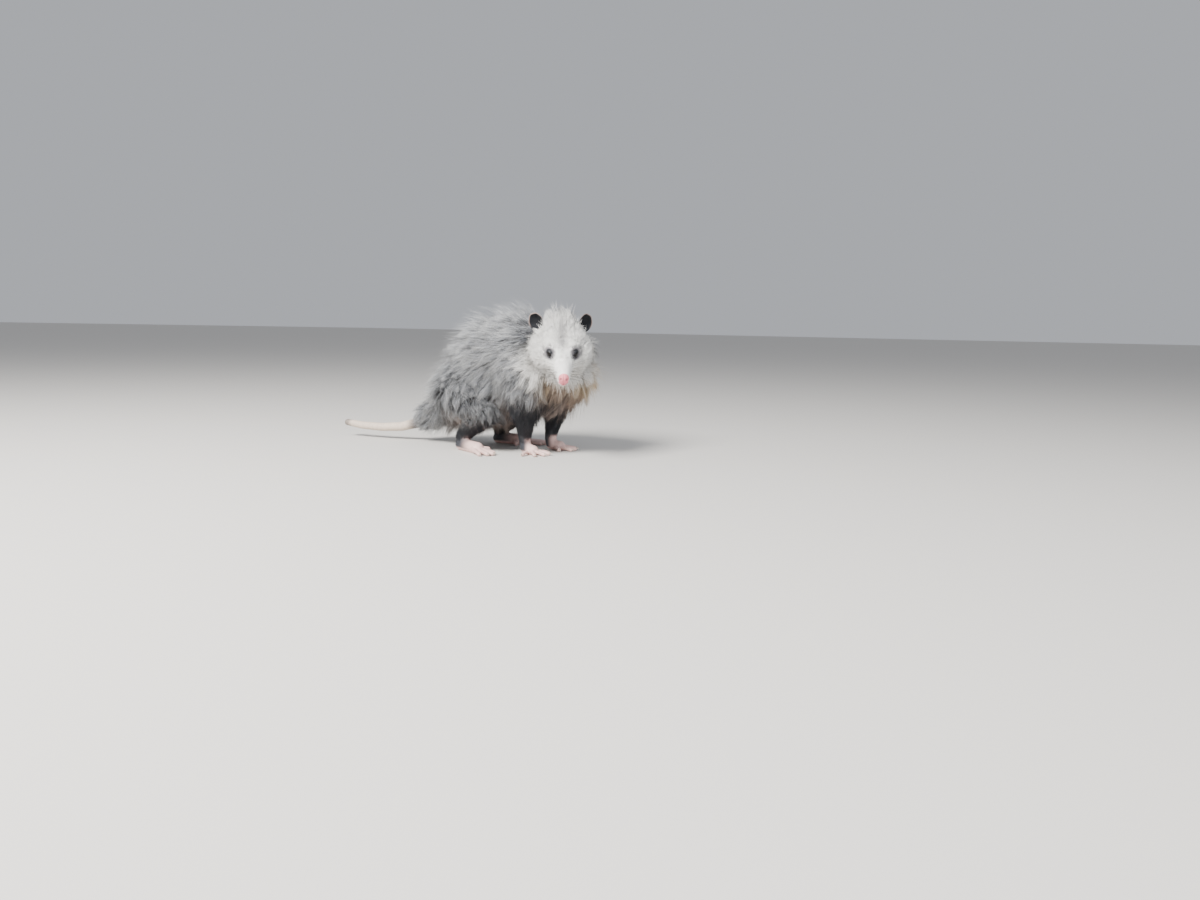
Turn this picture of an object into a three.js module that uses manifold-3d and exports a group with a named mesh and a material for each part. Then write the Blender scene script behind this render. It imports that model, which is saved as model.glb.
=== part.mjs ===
// A Virginia opossum at life size, standing low with its head turned to its right.
// Millimetres. +X runs from tail to chest, +Y is the animal's left, +Z is up from the floor.
// The flesh is a smooth blend of round masses. Each part is a sphere whose points are
// pushed out along rays to that blend, and the joined body is parted by thin cuts.
import * as THREE from 'three';
import { mergeVertices } from 'three/addons/utils/BufferGeometryUtils.js';
import Module from 'manifold-3d';

const wasm = await Module();
wasm.setup();

// Gap between parts that touch, the gap round a seated ear, and the floor's level
const GAP = 0.3;
const SLOT = 0.8;
const FLOOR = 0;

// Share of the coat's depth that short fur fills, and that the core under long locks fills
const SHORT_FUR = 0.92;
const LOCK_CORE = 0.45;

// How softly two masses run into one another
const BLEND = 9;

// Head: the point midway between the eyes, the way it faces, and its pitch below level
const EYE_MIDPOINT = new THREE.Vector3(185.5, -57, 141);
const HEAD_TURN = THREE.MathUtils.degToRad(-54);
const HEAD_PITCH = THREE.MathUtils.degToRad(30);

const EYE_RADIUS = 4.6;
const EYE_SPREAD = 15.6;
const EYE_BACK = -2.2;
const EYE_DROP = -0.8;
const EYE_OUTWARD = 40;
const EYE_UPWARD = 14;
const LID_TUBE = 1.35;
// The ring of the lids over the ball's radius, its breadth and height, and its way forward
const LID_RING = 0.86;
const LID_SHAPE = [1.06, 0.84];
const LID_AHEAD = 0.5;
const SOCKET_OUT = 8.5;
const SOCKET_RADIUS = 8;
const SOCKET_BLEND = 4;

// Mouth line and nostrils, from the eye midpoint
const MOUTH_LENGTH = 60;
const MOUTH_CORNER = 5;
const MOUTH_RISE = -19;
const MOUTH_SLOPE = -0.1;
const MOUTH_GAPE = 0.9;
const LIP_DEPTH = 1.5;
const NOSTRIL = { ahead: 48.2, side: 3.4, rise: -8.5, radii: [1.5, 1.5, 1.3] };

const EAR_SPREAD = 33;
const EAR_BACK = -60;
const EAR_RISE = 10;
const EAR_HALF_WIDTH = 11.5;
const EAR_HALF_HEIGHT = 14.5;
const EAR_CUP = 7.5;
const EAR_WALL = 2.0;
// How much an ear narrows to its foot, and the way its cup and its top point for the left one
const EAR_NARROWING = 0.22;
const EAR_FACING = [0.8, 0.56, 0.22];
const EAR_UPRIGHT = [-0.22, 0.5, 0.84];

// Masses as [x, y, z, radius, height over width, coat depth]
const TRUNK = [
  [-36, 0, 62, 18, 1.0, 17],
  [2, 0, 84, 42, 1.1, 18],
  [46, 0, 110, 59, 1.36, 19],
  [92, 1, 120, 57, 1.36, 19],
  [130, 3, 117, 43, 1.14, 17],
];
const NECK = [
  [118, 2, 124, 44, 1.1, 19],
  [150, 0, 150, 31, 1.0, 17],
];
const THROAT = [
  [134, 4, 108, 36, 1.0, 15],
  [160, -6, 114, 27, 1.0, 15],
  [166, -26, 128, 22, 1.0, 12],
];
const TAIL = [
  [-46, 0, 60, 17, 1, 15],
  [-80, -4, 41, 11, 1, 12],
  [-104, -9, 27.5, 7.4, 1, 1.5],
  [-130, -15, 20.5, 6.8, 1, 0.2],
  [-165, -22, 17.8, 6.2, 1, 0.2],
  [-200, -28.5, 18.8, 5.6, 1, 0.2],
  [-226, -33, 22, 4.9, 1, 0.2],
];

// Masses of the head in its own frame: forward, left, up from the eye midpoint
const SKULL = [
  [-50, 0, -7, 26, 1.0, 12],
  [-30, 0, -9, 25, 1.0, 7],
  [-8, 0, -10, 19, 1.0, 3],
  [12, 0, -10.5, 13.5, 1.0, 2],
  [40, 0, -10, 7.2, 1.0, 1],
];
const CHEEK = [
  [-44, 17, -16, 17, 1.0, 10],
  [-22, 17, -15, 17, 1.0, 7],
];
const BROW = [
  [-22, 12, 3, 11, 1.0, 4],
  [-6, 12.5, 1.5, 7, 1.0, 2],
];
const JAW = [
  [-26, 0, -26, 14, 1.0, 6],
  [8, 0, -22, 8, 1.0, 3],
  [36, 0, -19.5, 4.6, 1.0, 1],
];

// Masses of the right limbs; the left ones mirror them and then step forward or back
const HIND_LIMB = [
  [0, 25, 80, 29, 1.0, 15],
  [26, 36, 69, 25, 1.0, 13],
  [50, 47, 57, 14, 1.0, 9],
  [14, 46, 20, 9.5, 1.0, 4],
];
const FORE_LIMB = [
  [118, 24, 110, 27, 1.0, 15],
  [112, 31, 80, 18, 1.0, 12],
  [110, 33, 56, 12, 1.0, 6],
  [104, 23, 17, 7.6, 1.0, 3],
];
const HIND_FOOT = {
  heel: [10, 46, 8.2, 8.2],
  ball: [50, 60, 6.6, 8.6],
  toes: [
    { root: [50, 68, 5.0], tip: [70, 82, 2.6], radius: 3.1 },
    { root: [54, 64.5, 5.2], tip: [78, 75, 2.6], radius: 3.2 },
    { root: [56, 60, 5.2], tip: [81, 67.5, 2.6], radius: 3.2 },
    { root: [55, 55.5, 5.0], tip: [77, 59.5, 2.6], radius: 3.1 },
    { root: [38, 51, 5.4], tip: [50, 36, 3.0], radius: 3.6, bare: true },
  ],
};
const FORE_FOOT = {
  heel: [105, 23, 8, 7.2],
  ball: [119, 25.5, 5.6, 7.6],
  toes: [
    { root: [114, 31, 4.6], tip: [117, 48, 2.4], radius: 2.6 },
    { root: [120, 30, 4.8], tip: [133, 42, 2.4], radius: 2.8 },
    { root: [123, 26.5, 4.8], tip: [141, 31.5, 2.4], radius: 2.8 },
    { root: [122, 22, 4.8], tip: [141, 19.5, 2.4], radius: 2.8 },
    { root: [116, 19, 4.6], tip: [129, 8, 2.4], radius: 2.6 },
  ],
};
const CLAW_LENGTH = 6.5;
const CLAW_RADIUS = 1.25;
const CLAW_DROP = 0.12;
const CLAW_START = 0.6;
// A toe's radius at its root and tip over its nominal one
const TOE_TAPER = [1.1, 0.82];

// Where the left limbs stand against the mirrored right ones
const LEFT_HIND_STEP = new THREE.Vector3(-3, 0, 0);
const LEFT_FORE_STEP = new THREE.Vector3(4, 12, 0);
// The left foreleg takes no step at its shoulder's height and all of it this far below
const FORE_STEP_FROM = 118;
const FORE_STEP_OVER = 100;

// Lines inside the bodies, from which their points are cast
const TRUNK_SPINE = [[-34, 0, 64], ...TRUNK.slice(1, 4), [134, 1, 122]];
const NAPE_SPINE = [[120, 2, 126], [134, 1, 137], [148, 0, 148]];
const THROAT_SPINE = [[136, 3, 108], [150, -5, 114], [164, -22, 124]];
const HEAD_SPINE = [[-50, 0, -8], [-25, 0, -11], [10, 0, -13], [38, 0, -13]];

// Spaces that part the limbs from the trunk: a round one and a box below it
const HAUNCH_SPACE = { at: [20, 48, 64], radii: [60, 34, 46], leg: [-24, 76, 22, 90, 34] };
const SHOULDER_SPACE = { at: [114, 44, 84], radii: [38, 34, 60], leg: [86, 140, 9, 90, 40] };
const HIND_FOOT_SPACE = [-30, 93, 16, 110, 14];
const FORE_FOOT_SPACE = [93.5, 190, 0.5, 90, 13];
const NOSE_FROM = 42.5;
const HEAD_FROM = [-75, 18];
const JAW_FROM = -39;
const HEAD_CUT_ALONG = [0.787, 0.617];
const NECK_AT = [121, 0, 146];
const TAIL_TIP_AT = [-172, -22, 18];
const TAIL_MIDDLE_AT = [-106, -9, 27];
const TAIL_BASE_AT = [-62, 0, 48];

// The plane that parts shank from thigh runs from behind the ankle through the knee
const KNEE_AT = [0, 0, 38];
const KNEE_CUT = new THREE.Vector3(0.47, 0, -0.88).normalize();
const NECK_CUT = new THREE.Vector3(0.86, 0, 0.5).normalize();
const TAIL_TIP_CUT = new THREE.Vector3(-1, -0.15, 0).normalize();
const TAIL_MIDDLE_CUT = new THREE.Vector3(-0.93, -0.24, -0.27).normalize();
const TAIL_BASE_CUT = new THREE.Vector3(-0.85, -0.1, -0.5).normalize();

// Locks: half their breadth and the height of their ridge over their nominal width, how
// deep they root, how far they hang, and their rows over each body.
// Rows run along a body from one share of its spine to another, and round it from one
// angle to another, where zero is the top and positive angles are the animal's left.
const LOCK_BREADTH = 0.58;
const LOCK_RIDGE = 0.2;
const LOCK_SINK = 4;
const LOCK_CLEARANCE = 3;
// A lock bends half way along to a part of its rise, and swells before it tapers
const LOCK_BEND = 0.52;
const LOCK_LATE_RISE = 0.35;
const LOCK_SWELL = [0.7, 1.9];
const DROOP = 0.75;
// A lock that would reach into the next part is shortened and stands up more
const LOCK_TRIMS = [1, 0.8, 0.62];
const LOCK_STAND = 1.8;
// Locks keep this far from the middle of an ear, and off the inner side of a limb
const EAR_CLEARANCE = 21;
const INNER_SIDE = -0.15;
const LOCKS = {
  trunk: {
    from: 0.02, to: 0.98, rows: 9, around: 14, start: -2.95, end: 2.95,
    length: 38, width: 27, rise: 0.55,
  },
  nape: {
    from: 0.1, to: 1, rows: 4, around: 7, start: -1.7, end: 1.7,
    length: 25, width: 20, rise: 1.0, tilt: 0.55,
  },
  throat: {
    from: 0.2, to: 0.95, rows: 3, around: 7, start: -2.9, end: 2.9,
    length: 28, width: 25, rise: 0.45, lay: [-0.2, 0, -1],
  },
  crown: {
    from: 0, to: 0.08, rows: 2, around: 9, start: -2.6, end: 2.6,
    length: 20, width: 18, rise: 0.55, tilt: -0.35,
  },
  tail: {
    from: 0.1, to: 0.85, rows: 3, around: 6, start: -2.6, end: 2.6,
    length: 32, width: 17, rise: 0.4,
  },
  thigh: {
    from: 0.05, to: 0.95, rows: 4, around: 7, start: -3, end: 3,
    length: 31, width: 24, rise: 0.42, lay: [-0.55, 0, -0.8], outer: true,
  },
  shoulder: {
    from: 0.05, to: 0.9, rows: 3, around: 6, start: -3, end: 3,
    length: 30, width: 25, rise: 0.4, lay: [-0.4, 0, -0.9], outer: true,
  },
};

const COLORS = {
  coat: 0x9aa0a4,
  face: 0xe9e8e4,
  leg: 0x25272c,
  foot: 0xd9b7b0,
  nose: 0xc9848a,
  ear: 0x17171a,
  eye: 0x08070a,
  tailBase: 0x4a484c,
  tail: 0xd8ccbd,
};

// Frame of the head, and the same for directions only
const forward = new THREE.Vector3(
  Math.cos(HEAD_PITCH) * Math.cos(HEAD_TURN),
  Math.cos(HEAD_PITCH) * Math.sin(HEAD_TURN),
  -Math.sin(HEAD_PITCH),
);
const leftward = new THREE.Vector3(-Math.sin(HEAD_TURN), Math.cos(HEAD_TURN), 0);
const upward = new THREE.Vector3().crossVectors(forward, leftward);
const headFrame = new THREE.Matrix4()
  .makeBasis(forward, leftward, upward)
  .setPosition(EYE_MIDPOINT);

function headPoint(ahead, side, rise) {
  return new THREE.Vector3(ahead, side, rise).applyMatrix4(headFrame);
}

const HEAD_CUT = forward.clone().multiplyScalar(HEAD_CUT_ALONG[0])
  .addScaledVector(upward, HEAD_CUT_ALONG[1]);

// A mass joins two stations of a chain: ends, radii, squash and coat depth
function massesAlong(chain, place = (point) => point) {
  const stations = chain.map(([x, y, z, radius, squash, coat]) => ({
    at: place(new THREE.Vector3(x, y, z)), radius, squash, coat,
  }));
  return stations.slice(1).map((b, i) => ({ a: stations[i], b }));
}

const inHead = (point) => point.applyMatrix4(headFrame);
const mirrored = (chain) => chain.map(([x, y, ...rest]) => [x, -y, ...rest]);
const onRight = (point) => point.setY(-point.y);

const headChains = [
  massesAlong(SKULL, inHead),
  massesAlong(CHEEK, inHead),
  massesAlong(mirrored(CHEEK), inHead),
  massesAlong(BROW, inHead),
  massesAlong(mirrored(BROW), inHead),
  massesAlong(JAW, inHead),
];
const neckChains = [massesAlong(NECK), massesAlong(THROAT)];
const trunkChain = massesAlong(TRUNK);
const tailChain = massesAlong(TAIL);

// The left foreleg swings out toward its foot, so only its lower end takes the full step
function lowerStep(point) {
  const share = THREE.MathUtils.clamp((FORE_STEP_FROM - point.z) / FORE_STEP_OVER, 0, 1);
  return point.addScaledVector(LEFT_FORE_STEP, share);
}

// Distance to one mass with a share of its coat laid on
const axis = new THREE.Vector3();
const offset = new THREE.Vector3();
function massDistance(point, { a, b }, share) {
  axis.subVectors(b.at, a.at);
  offset.subVectors(point, a.at);
  const t = THREE.MathUtils.clamp(offset.dot(axis) / axis.lengthSq(), 0, 1);
  offset.addScaledVector(axis, -t);
  offset.y *= THREE.MathUtils.lerp(a.squash, b.squash, t);
  return offset.length()
    - THREE.MathUtils.lerp(a.radius + share * a.coat, b.radius + share * b.coat, t);
}

// Distance to the body: chains of masses run softly into one another
const formDistance = (chains, share = SHORT_FUR) => (point) => {
  let total = Infinity;
  for (const chain of chains) {
    const d = Math.min(...chain.map((mass) => massDistance(point, mass, share)));
    const h = Math.max(BLEND - Math.abs(total - d), 0) / BLEND;
    total = Math.min(total, d) - (total === Infinity ? 0 : h * h * BLEND / 4);
  }
  return total;
};

// First crossing of a distance field along a ray from inside it
const RAY_STEP = 1.5;
const RAY_HALVINGS = 14;
function surfacePoint(origin, direction, distance) {
  const at = (length) => origin.clone().addScaledVector(direction, length);
  let outer = RAY_STEP;
  while (distance(at(outer)) < 0) outer += RAY_STEP;
  let inner = outer - RAY_STEP;
  for (let i = 0; i < RAY_HALVINGS; i += 1) {
    const middle = (inner + outer) / 2;
    if (distance(at(middle)) < 0) inner = middle;
    else outer = middle;
  }
  return at(outer);
}

// A sphere whose poles lie at the ends of a spine and whose points go out to the field
const POLE_TILT = 2.6;
function flesh(spine, sides, rings, distance) {
  const curve = new THREE.CatmullRomCurve3(spine);
  const geometry = new THREE.SphereGeometry(1, sides, rings);
  const position = geometry.attributes.position;
  const unit = new THREE.Vector3();
  for (let i = 0; i < position.count; i += 1) {
    unit.fromBufferAttribute(position, i);
    const latitude = Math.asin(THREE.MathUtils.clamp(unit.y, -1, 1)) / (Math.PI / 2);
    const u = (1 + latitude) / 2;
    const origin = curve.getPointAt(u);
    const tangent = curve.getTangentAt(u);
    const across = new THREE.Vector3(-tangent.y, tangent.x, 0).normalize();
    const below = new THREE.Vector3().crossVectors(across, tangent);
    const angle = Math.atan2(unit.z, unit.x);
    const tilt = Math.sign(latitude) * Math.abs(latitude) ** POLE_TILT * Math.PI / 2;
    const direction = across.multiplyScalar(Math.cos(angle))
      .addScaledVector(below, Math.sin(angle))
      .multiplyScalar(Math.cos(tilt))
      .addScaledVector(tangent, Math.sin(tilt));
    const end = surfacePoint(origin, direction.normalize(), distance);
    position.setXYZ(i, end.x, end.y, end.z);
  }
  return geometry;
}

function solid(geometry) {
  const bare = geometry.index ? geometry.clone() : geometry;
  bare.deleteAttribute('normal');
  bare.deleteAttribute('uv');
  const merged = mergeVertices(bare, 1e-3);
  const mesh = new wasm.Mesh({
    numProp: 3,
    vertProperties: Float32Array.from(merged.attributes.position.array),
    triVerts: Uint32Array.from(merged.index.array),
  });
  return new wasm.Manifold(mesh);
}

const join = (pieces) => pieces.reduce((whole, piece) => whole.add(piece));

// The largest closed surface of a body, once its doubled points are welded
const biggest = (body) => body.decompose().sort((a, b) => b.volume() - a.volume())[0];
function largest(body) {
  const mesh = biggest(body).getMesh();
  const geometry = new THREE.BufferGeometry();
  geometry.setAttribute('position', new THREE.BufferAttribute(mesh.vertProperties, 3));
  geometry.setIndex(new THREE.BufferAttribute(mesh.triVerts, 1));
  return biggest(solid(geometry));
}

const point = ([x, y, z]) => new THREE.Vector3(x, y, z);

// A box that stands on one face of a plane, used to part the body
const CUTTER = 700;
function halfSpace(at, normal) {
  const box = new THREE.BoxGeometry(CUTTER, CUTTER, CUTTER);
  box.translate(0, 0, CUTTER / 2);
  const turn = new THREE.Quaternion()
    .setFromUnitVectors(new THREE.Vector3(0, 0, 1), normal.clone().normalize());
  box.applyQuaternion(turn);
  box.translate(at.x, at.y, at.z);
  return solid(box);
}

function ellipsoid(at, radii, turn = new THREE.Euler()) {
  const geometry = new THREE.SphereGeometry(1, 12, 7);
  geometry.scale(...radii);
  geometry.applyQuaternion(new THREE.Quaternion().setFromEuler(turn));
  geometry.translate(at.x, at.y, at.z);
  return solid(geometry);
}

// A round limb: a capsule along its chain of masses
function limb(chain, place, sides, rings, share = SHORT_FUR) {
  const masses = massesAlong(chain.map((s) => (s.length > 4 ? s : [...s, 1, 0])), place);
  const spine = chain.map(([x, y, z]) => place(point([x, y, z])));
  if (spine.length === 2) spine.splice(1, 0, spine[0].clone().lerp(spine[1], 0.5));
  return flesh(spine, sides, rings, formDistance([masses], share));
}

// Toes and claws of one foot, fanned from the ball, with the soles pressed flat
function foot(shape, place, sole) {
  const palm = solid(limb([[...shape.heel], [...shape.ball]], place, 8, 5));
  const toes = shape.toes.map(({ root, tip, radius }) =>
    solid(limb(
      [[...root, radius * TOE_TAPER[0]], [...tip, radius * TOE_TAPER[1]]], place, 5, 4,
    )));
  const claws = shape.toes.filter(({ bare }) => !bare).map(({ root, tip }) => {
    const start = place(point(root));
    const end = place(point(tip));
    const along = end.clone().sub(start).setZ(0).normalize();
    const claw = new THREE.ConeGeometry(CLAW_RADIUS, CLAW_LENGTH, 4);
    claw.rotateX(Math.PI / 2).translate(0, 0, CLAW_LENGTH / 2);
    const heading = along.clone().setZ(-CLAW_DROP).normalize();
    claw.applyQuaternion(new THREE.Quaternion()
      .setFromUnitVectors(new THREE.Vector3(0, 0, 1), heading));
    const base = end.clone().addScaledVector(along, CLAW_START);
    claw.translate(base.x, base.y, base.z + CLAW_START);
    return solid(claw);
  });
  return join([palm, ...toes, ...claws]).intersect(sole);
}

// The same surface moved outward along its normals
function swollen(geometry, amount) {
  const bare = geometry.clone();
  bare.deleteAttribute('normal');
  bare.deleteAttribute('uv');
  const grown = mergeVertices(bare, 1e-3);
  grown.computeVertexNormals();
  const { position, normal } = grown.attributes;
  for (let i = 0; i < position.count; i += 1) {
    position.setXYZ(
      i,
      position.getX(i) + amount * normal.getX(i),
      position.getY(i) + amount * normal.getY(i),
      position.getZ(i) + amount * normal.getZ(i),
    );
  }
  return grown;
}

// Ear: a thin leaf bent into a cup, with its rim rolled a little thicker
function ear(side, grown = 0) {
  const geometry = new THREE.SphereGeometry(1, 16, 7);
  geometry.rotateX(Math.PI / 2);
  const position = geometry.attributes.position;
  for (let i = 0; i < position.count; i += 1) {
    const x = position.getX(i);
    const y = position.getY(i);
    const face = position.getZ(i);
    const r = Math.min(1, Math.hypot(x, y));
    const narrow = 1 - EAR_NARROWING * Math.max(0, -y);
    position.setXYZ(
      i,
      x * EAR_HALF_WIDTH * narrow,
      y * EAR_HALF_HEIGHT,
      EAR_CUP * (r * r - 1) + face * EAR_WALL / 2 * (1 + 0.2 * r),
    );
  }
  const handed = ([x, y, z]) => new THREE.Vector3(x, side * y, z);
  const facing = handed(EAR_FACING).normalize();
  const rise = handed(EAR_UPRIGHT);
  const across = new THREE.Vector3().crossVectors(rise, facing).normalize();
  rise.crossVectors(facing, across);
  const seat = new THREE.Matrix4().makeBasis(across, rise, facing)
    .setPosition(EAR_BACK, side * EAR_SPREAD, EAR_RISE);
  geometry.applyMatrix4(seat).applyMatrix4(headFrame);
  return solid(swollen(geometry, grown));
}

// Direction in which an eye looks, and the centre of its ball
function eyePlace(side) {
  const turn = THREE.MathUtils.degToRad(EYE_OUTWARD);
  const lift = THREE.MathUtils.degToRad(EYE_UPWARD);
  const look = new THREE.Vector3(
    Math.cos(lift) * Math.cos(turn), side * Math.cos(lift) * Math.sin(turn), Math.sin(lift),
  ).transformDirection(headFrame);
  return { look, centre: headPoint(EYE_BACK, side * EYE_SPREAD, EYE_DROP) };
}

function ball(centre, radius, sides = 14, rings = 8) {
  const geometry = new THREE.SphereGeometry(radius, sides, rings);
  return solid(geometry.translate(centre.x, centre.y, centre.z));
}

// Lids: an almond ring of flesh round the opening of the eye
function lids(side) {
  const { look, centre } = eyePlace(side);
  const ring = new THREE.TorusGeometry(EYE_RADIUS * LID_RING, LID_TUBE, 5, 12);
  ring.scale(...LID_SHAPE, 1);
  const across = new THREE.Vector3().crossVectors(upward, look).normalize();
  const rise = new THREE.Vector3().crossVectors(look, across);
  ring.applyMatrix4(new THREE.Matrix4().makeBasis(across, rise, look)
    .setPosition(centre.clone().addScaledVector(look, EYE_RADIUS * LID_AHEAD)));
  return solid(ring);
}

// Bodies of flesh with the coat's plain form
const onLeft = (p) => p.add(LEFT_HIND_STEP);
const spineOf = (chain) => chain.map((s) => point(s));
const trunkForm = formDistance([trunkChain], LOCK_CORE);
const napeForm = formDistance([massesAlong(NECK)], LOCK_CORE);
const throatForm = formDistance([massesAlong(THROAT)], LOCK_CORE);
const tailForm = formDistance([tailChain], LOCK_CORE);
const trunkSpine = spineOf(TRUNK_SPINE);
const napeSpine = spineOf(NAPE_SPINE);
const throatSpine = spineOf(THROAT_SPINE);
const trunkBody = flesh(trunkSpine, 18, 15, trunkForm);
const nape = flesh(napeSpine, 14, 8, napeForm);
const throat = flesh(throatSpine, 14, 8, throatForm);
const headForm = formDistance(headChains);
const eyes = [eyePlace(1), eyePlace(-1)];
function faceForm(p) {
  let d = headForm(p);
  for (const { look, centre } of eyes) {
    const dish = centre.clone().addScaledVector(look, SOCKET_OUT);
    const inside = SOCKET_RADIUS - p.distanceTo(dish);
    const h = Math.max(SOCKET_BLEND - Math.abs(d - inside), 0) / SOCKET_BLEND;
    d = Math.max(d, inside) + h * h * SOCKET_BLEND / 4;
  }
  return d;
}
const headSpine = HEAD_SPINE.map((place) => headPoint(...place));
const headBody = flesh(headSpine, 26, 23, faceForm);
const tailBody = flesh(spineOf(TAIL), 10, 20, tailForm);

// A leg is a fat upper length and a lean lower one, each a straight capsule
function leg(chain, place, split) {
  const upper = solid(limb(chain.slice(0, split + 1), place, 11, 8, LOCK_CORE));
  return upper.add(solid(limb(chain.slice(split), place, 10, 8)));
}
const legs = [
  leg(HIND_LIMB, onRight, 2), leg(HIND_LIMB, onLeft, 2),
  leg(FORE_LIMB, onRight, 2), leg(FORE_LIMB, lowerStep, 2),
];

const aboveFloor = halfSpace(new THREE.Vector3(0, 0, FLOOR), new THREE.Vector3(0, 0, 1));
const feet = {
  hindfoot_right: foot(HIND_FOOT, onRight, aboveFloor),
  hindfoot_left: foot(HIND_FOOT, onLeft, aboveFloor),
  forefoot_right: foot(FORE_FOOT, onRight, aboveFloor),
  forefoot_left: foot(FORE_FOOT, (p) => p.add(LEFT_FORE_STEP), aboveFloor),
};

// Seeded numbers, so that every lock differs and every build is the same
let seed = 20251;
function random(low, high) {
  seed = (seed * 1103515245 + 12345) % 2147483648;
  return low + (high - low) * (seed / 2147483648);
}

// Which part of the body a point belongs to
function insideSpace({ at, radii, leg: [x0, x1, y0, y1, top] }, p, side) {
  const y = p.y * side;
  const round = ((p.x - at[0]) / radii[0]) ** 2 + ((y - at[1]) / radii[1]) ** 2
    + ((p.z - at[2]) / radii[2]) ** 2;
  return round < 1 || (p.z < top && p.x > x0 && p.x < x1 && y > y0 && y < y1);
}
const ahead = (p, at, normal) => p.clone().sub(at).dot(normal) > 0;
function partOf(p) {
  const side = Math.sign(p.y) || 1;
  if (insideSpace(HAUNCH_SPACE, p, side)) {
    return ahead(p, point(KNEE_AT), KNEE_CUT) ? `shank ${side}` : `thigh ${side}`;
  }
  if (insideSpace(SHOULDER_SPACE, p, side)) return `foreleg ${side}`;
  if (ahead(p, headPoint(HEAD_FROM[0], 0, HEAD_FROM[1]), HEAD_CUT)
    && ahead(p, headPoint(0, 0, JAW_FROM), upward)) return 'head';
  if (ahead(p, point(NECK_AT), NECK_CUT)) return 'neck';
  if (ahead(p, point(TAIL_MIDDLE_AT), TAIL_MIDDLE_CUT)) return 'tail';
  if (ahead(p, point(TAIL_BASE_AT), TAIL_BASE_CUT)) return 'tail base';
  return 'torso';
}

// A lock: a flat tapered blade that rises from its root and bends over along the lie
function lock(root, out, lie, length, width, rise) {
  const step = (angle) => lie.clone().multiplyScalar(Math.cos(angle))
    .addScaledVector(out, Math.sin(angle)).normalize();
  const start = root.clone().addScaledVector(out, -LOCK_SINK);
  const bend = start.clone().addScaledVector(step(rise), length * LOCK_BEND);
  const tip = bend.clone()
    .addScaledVector(step(rise * LOCK_LATE_RISE), length * (1 - LOCK_BEND));
  const path = new THREE.QuadraticBezierCurve3(start, bend, tip);
  const blade = new THREE.ConeGeometry(1, 1, 3, 3);
  const position = blade.attributes.position;
  for (let i = 0; i < position.count; i += 1) {
    const t = position.getY(i) + 0.5;
    const narrowing = Math.max(1 - t, 1e-6);
    const swell = (LOCK_SWELL[0] + LOCK_SWELL[1] * t) * (1 - t) * width;
    const along = path.getTangent(t);
    const across = new THREE.Vector3().crossVectors(along, out).normalize();
    const thick = new THREE.Vector3().crossVectors(across, along);
    const at = path.getPoint(t)
      .addScaledVector(across, position.getX(i) / narrowing * swell * LOCK_BREADTH)
      .addScaledVector(thick, position.getZ(i) / narrowing * swell * LOCK_RIDGE);
    position.setXYZ(i, at.x, at.y, at.z);
  }
  return { blade: solid(blade), tip, middle: path.getPoint(0.6) };
}

// Rows of locks over one body, staggered like tiles, from rays off its spine
const bodyForms = [];
function locksOver(spine, form, layout) {
  const { from, to, rows, around, start, end, length, width, rise, lay, outer } = layout;
  const tilt = layout.tilt ?? 0;
  const curve = new THREE.CatmullRomCurve3(spine);
  const found = [];
  for (let row = 0; row < rows; row += 1) {
    const u = from + (to - from) * (rows > 1 ? row / (rows - 1) : 0);
    const origin = curve.getPointAt(u);
    const tangent = curve.getTangentAt(u);
    const across = new THREE.Vector3(-tangent.y, tangent.x, 0).normalize();
    const above = new THREE.Vector3().crossVectors(tangent, across);
    for (let k = 0; k < around; k += 1) {
      const share = (k + (row % 2 ? 0.75 : 0.25) + random(-0.12, 0.12)) / around;
      const angle = start + (end - start) * share;
      const out = above.clone().multiplyScalar(Math.cos(angle))
        .addScaledVector(across, Math.sin(angle))
        .multiplyScalar(Math.cos(tilt))
        .addScaledVector(tangent, Math.sin(tilt));
      const root = surfacePoint(origin, out, form);
      const slope = new THREE.Vector3(
        form(root.clone().add(new THREE.Vector3(1, 0, 0))),
        form(root.clone().add(new THREE.Vector3(0, 1, 0))),
        form(root.clone().add(new THREE.Vector3(0, 0, 1))),
      ).normalize();
      const lie = lay ? point(lay) : tangent.clone().negate();
      lie.z -= lay ? 0 : DROOP * (1 - Math.max(0, slope.z));
      lie.addScaledVector(slope, -lie.dot(slope)).normalize();
      const covered = bodyForms.some((other) => other !== form && other(root) < -3)
        || (outer && slope.y * Math.sign(root.y) < INNER_SIDE)
        || [1, -1].some((side) =>
          root.distanceTo(headPoint(EAR_BACK, side * EAR_SPREAD, EAR_RISE)) < EAR_CLEARANCE);
      const size = { length: length * random(0.85, 1.15), width: width * random(0.88, 1.12) };
      const lift = rise * random(0.8, 1.2);
      const home = partOf(root);
      if (!covered) {
        const kept = LOCK_TRIMS
          .map((trim) => lock(root, slope, lie, size.length * trim, size.width,
            lift + (1 - trim) * LOCK_STAND))
          .find(({ tip, middle }) =>
            partOf(tip) === home && partOf(middle) === home && tip.z > LOCK_CLEARANCE);
        if (kept) found.push(kept.blade);
      }
    }
  }
  return found;
}

const sockets = eyes.map(({ centre }) => ball(centre, EYE_RADIUS + GAP));
const ears = { left: ear(1), right: ear(-1) };
const earSlots = [ear(1, SLOT), ear(-1, SLOT)];

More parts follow.
